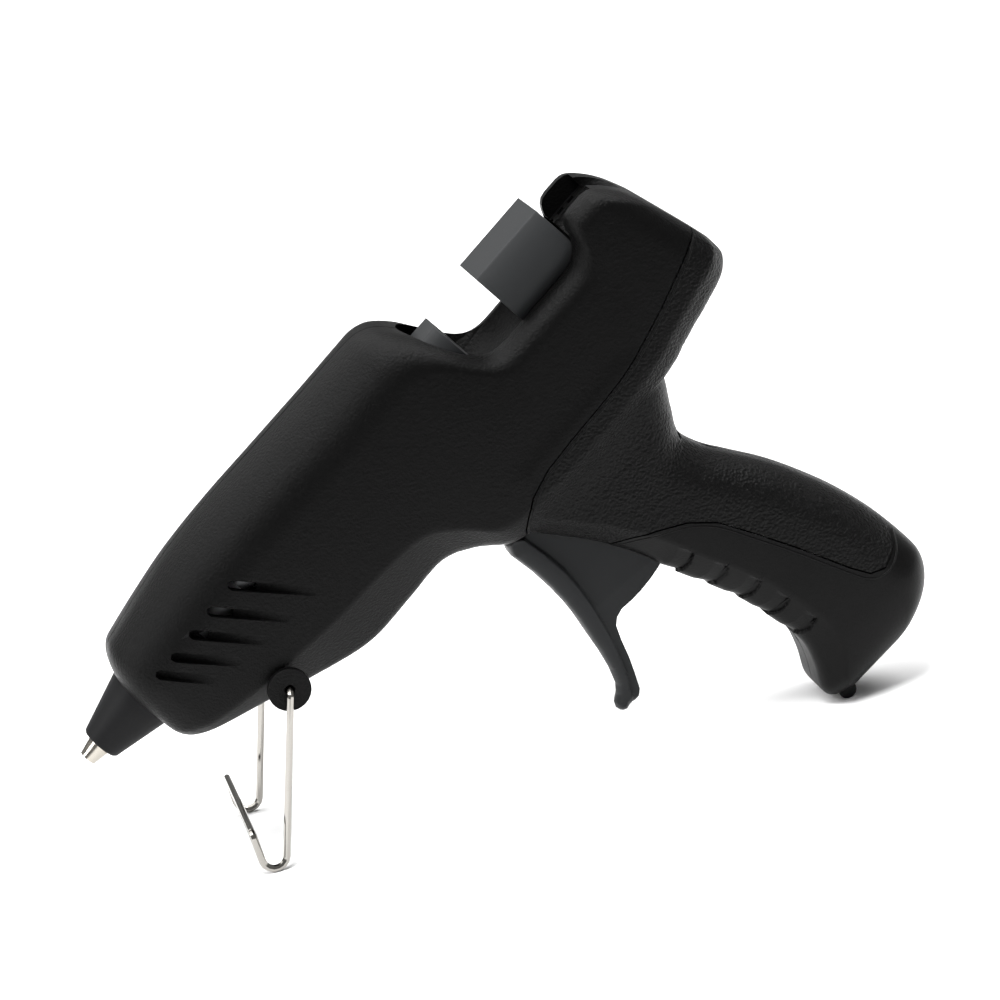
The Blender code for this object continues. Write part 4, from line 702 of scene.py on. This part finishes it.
# Each light's kind, place in metres, power and own settings. The broad one from overhead has its power in
# watts for each square metre. The softboxes have theirs in watts, and draw the long highlights.
LIGHT_TARGET = Vector((0.0, 0.0, 0.07))
LIGHTS = {
    "overhead": ("SUN", (-0.4, 0.5, 1.3), 3.0, {"angle": math.radians(80.0)}),
    "high_softbox": ("AREA", (-0.75, -0.42, 0.95), 3.5, {"shape": "DISK", "size": 0.45}),
    "top_softbox": ("AREA", (-0.08, -0.36, 1.15), 12.0, {"shape": "DISK", "size": 0.4}),
    "left_softbox": ("AREA", (-1.2, -0.2, 0.35), 5.5, {"shape": "DISK", "size": 0.5}),
    "back_softbox": ("AREA", (0.6, 0.25, 0.95), 5.0, {"shape": "DISK", "size": 0.5}),
}


def make_floor():
    """A flat sheet of matt white paper under the gun."""
    form = bmesh.new()
    corners = [
        (-FLOOR_HALF, -FLOOR_FRONT), (FLOOR_HALF, -FLOOR_FRONT),
        (FLOOR_HALF, FLOOR_HALF), (-FLOOR_HALF, FLOOR_HALF),
    ]
    form.faces.new([form.verts.new((x, y, 0.0)) for x, y in corners])
    mesh = bpy.data.meshes.new("floor")
    form.to_mesh(mesh)
    form.free()
    floor = bpy.data.objects.new("floor", mesh)
    bpy.context.scene.collection.objects.link(floor)
    material, _, _ = new_material("white_paper", "FFFFFF", 0.9)
    mesh.materials.append(material)


def soft_light(name, kind, place, power, settings):
    """One light that points at the gun."""
    data = bpy.data.lights.new(name, kind)
    data.energy = power
    for key, value in settings.items():
        setattr(data, key, value)
    light = bpy.data.objects.new(name, data)
    bpy.context.scene.collection.objects.link(light)
    light.location = place
    light.rotation_euler = (LIGHT_TARGET - light.location).to_track_quat("-Z", "Y").to_euler()


def make_lights():
    """The lights, and a world that is plain white to the camera and a dim room to all that it lights."""
    for name, (kind, place, power, settings) in LIGHTS.items():
        soft_light(name, kind, place, power, settings)
    world = bpy.data.worlds.new("studio")
    world.use_nodes = True
    tree = world.node_tree
    room = tree.nodes["Background"]
    room.inputs["Color"].default_value = WHITE
    room.inputs["Strength"].default_value = ROOM_LEVEL
    backdrop = add(tree, "ShaderNodeBackground", {"Color": WHITE, "Strength": 1.0})
    seen = add(tree, "ShaderNodeLightPath")
    chosen = add(tree, "ShaderNodeMixShader", Fac=(seen, "Is Camera Ray"))
    tree.links.new(room.outputs["Background"], chosen.inputs[1])
    tree.links.new(backdrop.outputs["Background"], chosen.inputs[2])
    tree.links.new(chosen.outputs["Shader"], tree.nodes["World Output"].inputs["Surface"])
    bpy.context.scene.world = world


def make_camera():
    data = bpy.data.cameras.new("camera")
    data.sensor_fit = "HORIZONTAL"
    data.sensor_width = SENSOR_MM
    data.lens = LENS_MM
    data.clip_start = NEAR_CLIP
    camera = bpy.data.objects.new("camera", data)
    bpy.context.scene.collection.objects.link(camera)
    look = gun_direction(*LOOK)
    right = gun_direction(*RIGHT)
    up = right.cross(look)
    turn = Matrix((right, up, -look)).transposed()
    camera.matrix_world = Matrix.Translation(gun_point(CAMERA_U, CAMERA_V, CAMERA_W)) @ turn.to_4x4()
    bpy.context.scene.camera = camera


finishes = make_finishes()
dress_nodes(finishes)
make_floor()
make_lights()
make_camera()
bpy.context.scene.view_settings.view_transform = "Standard"
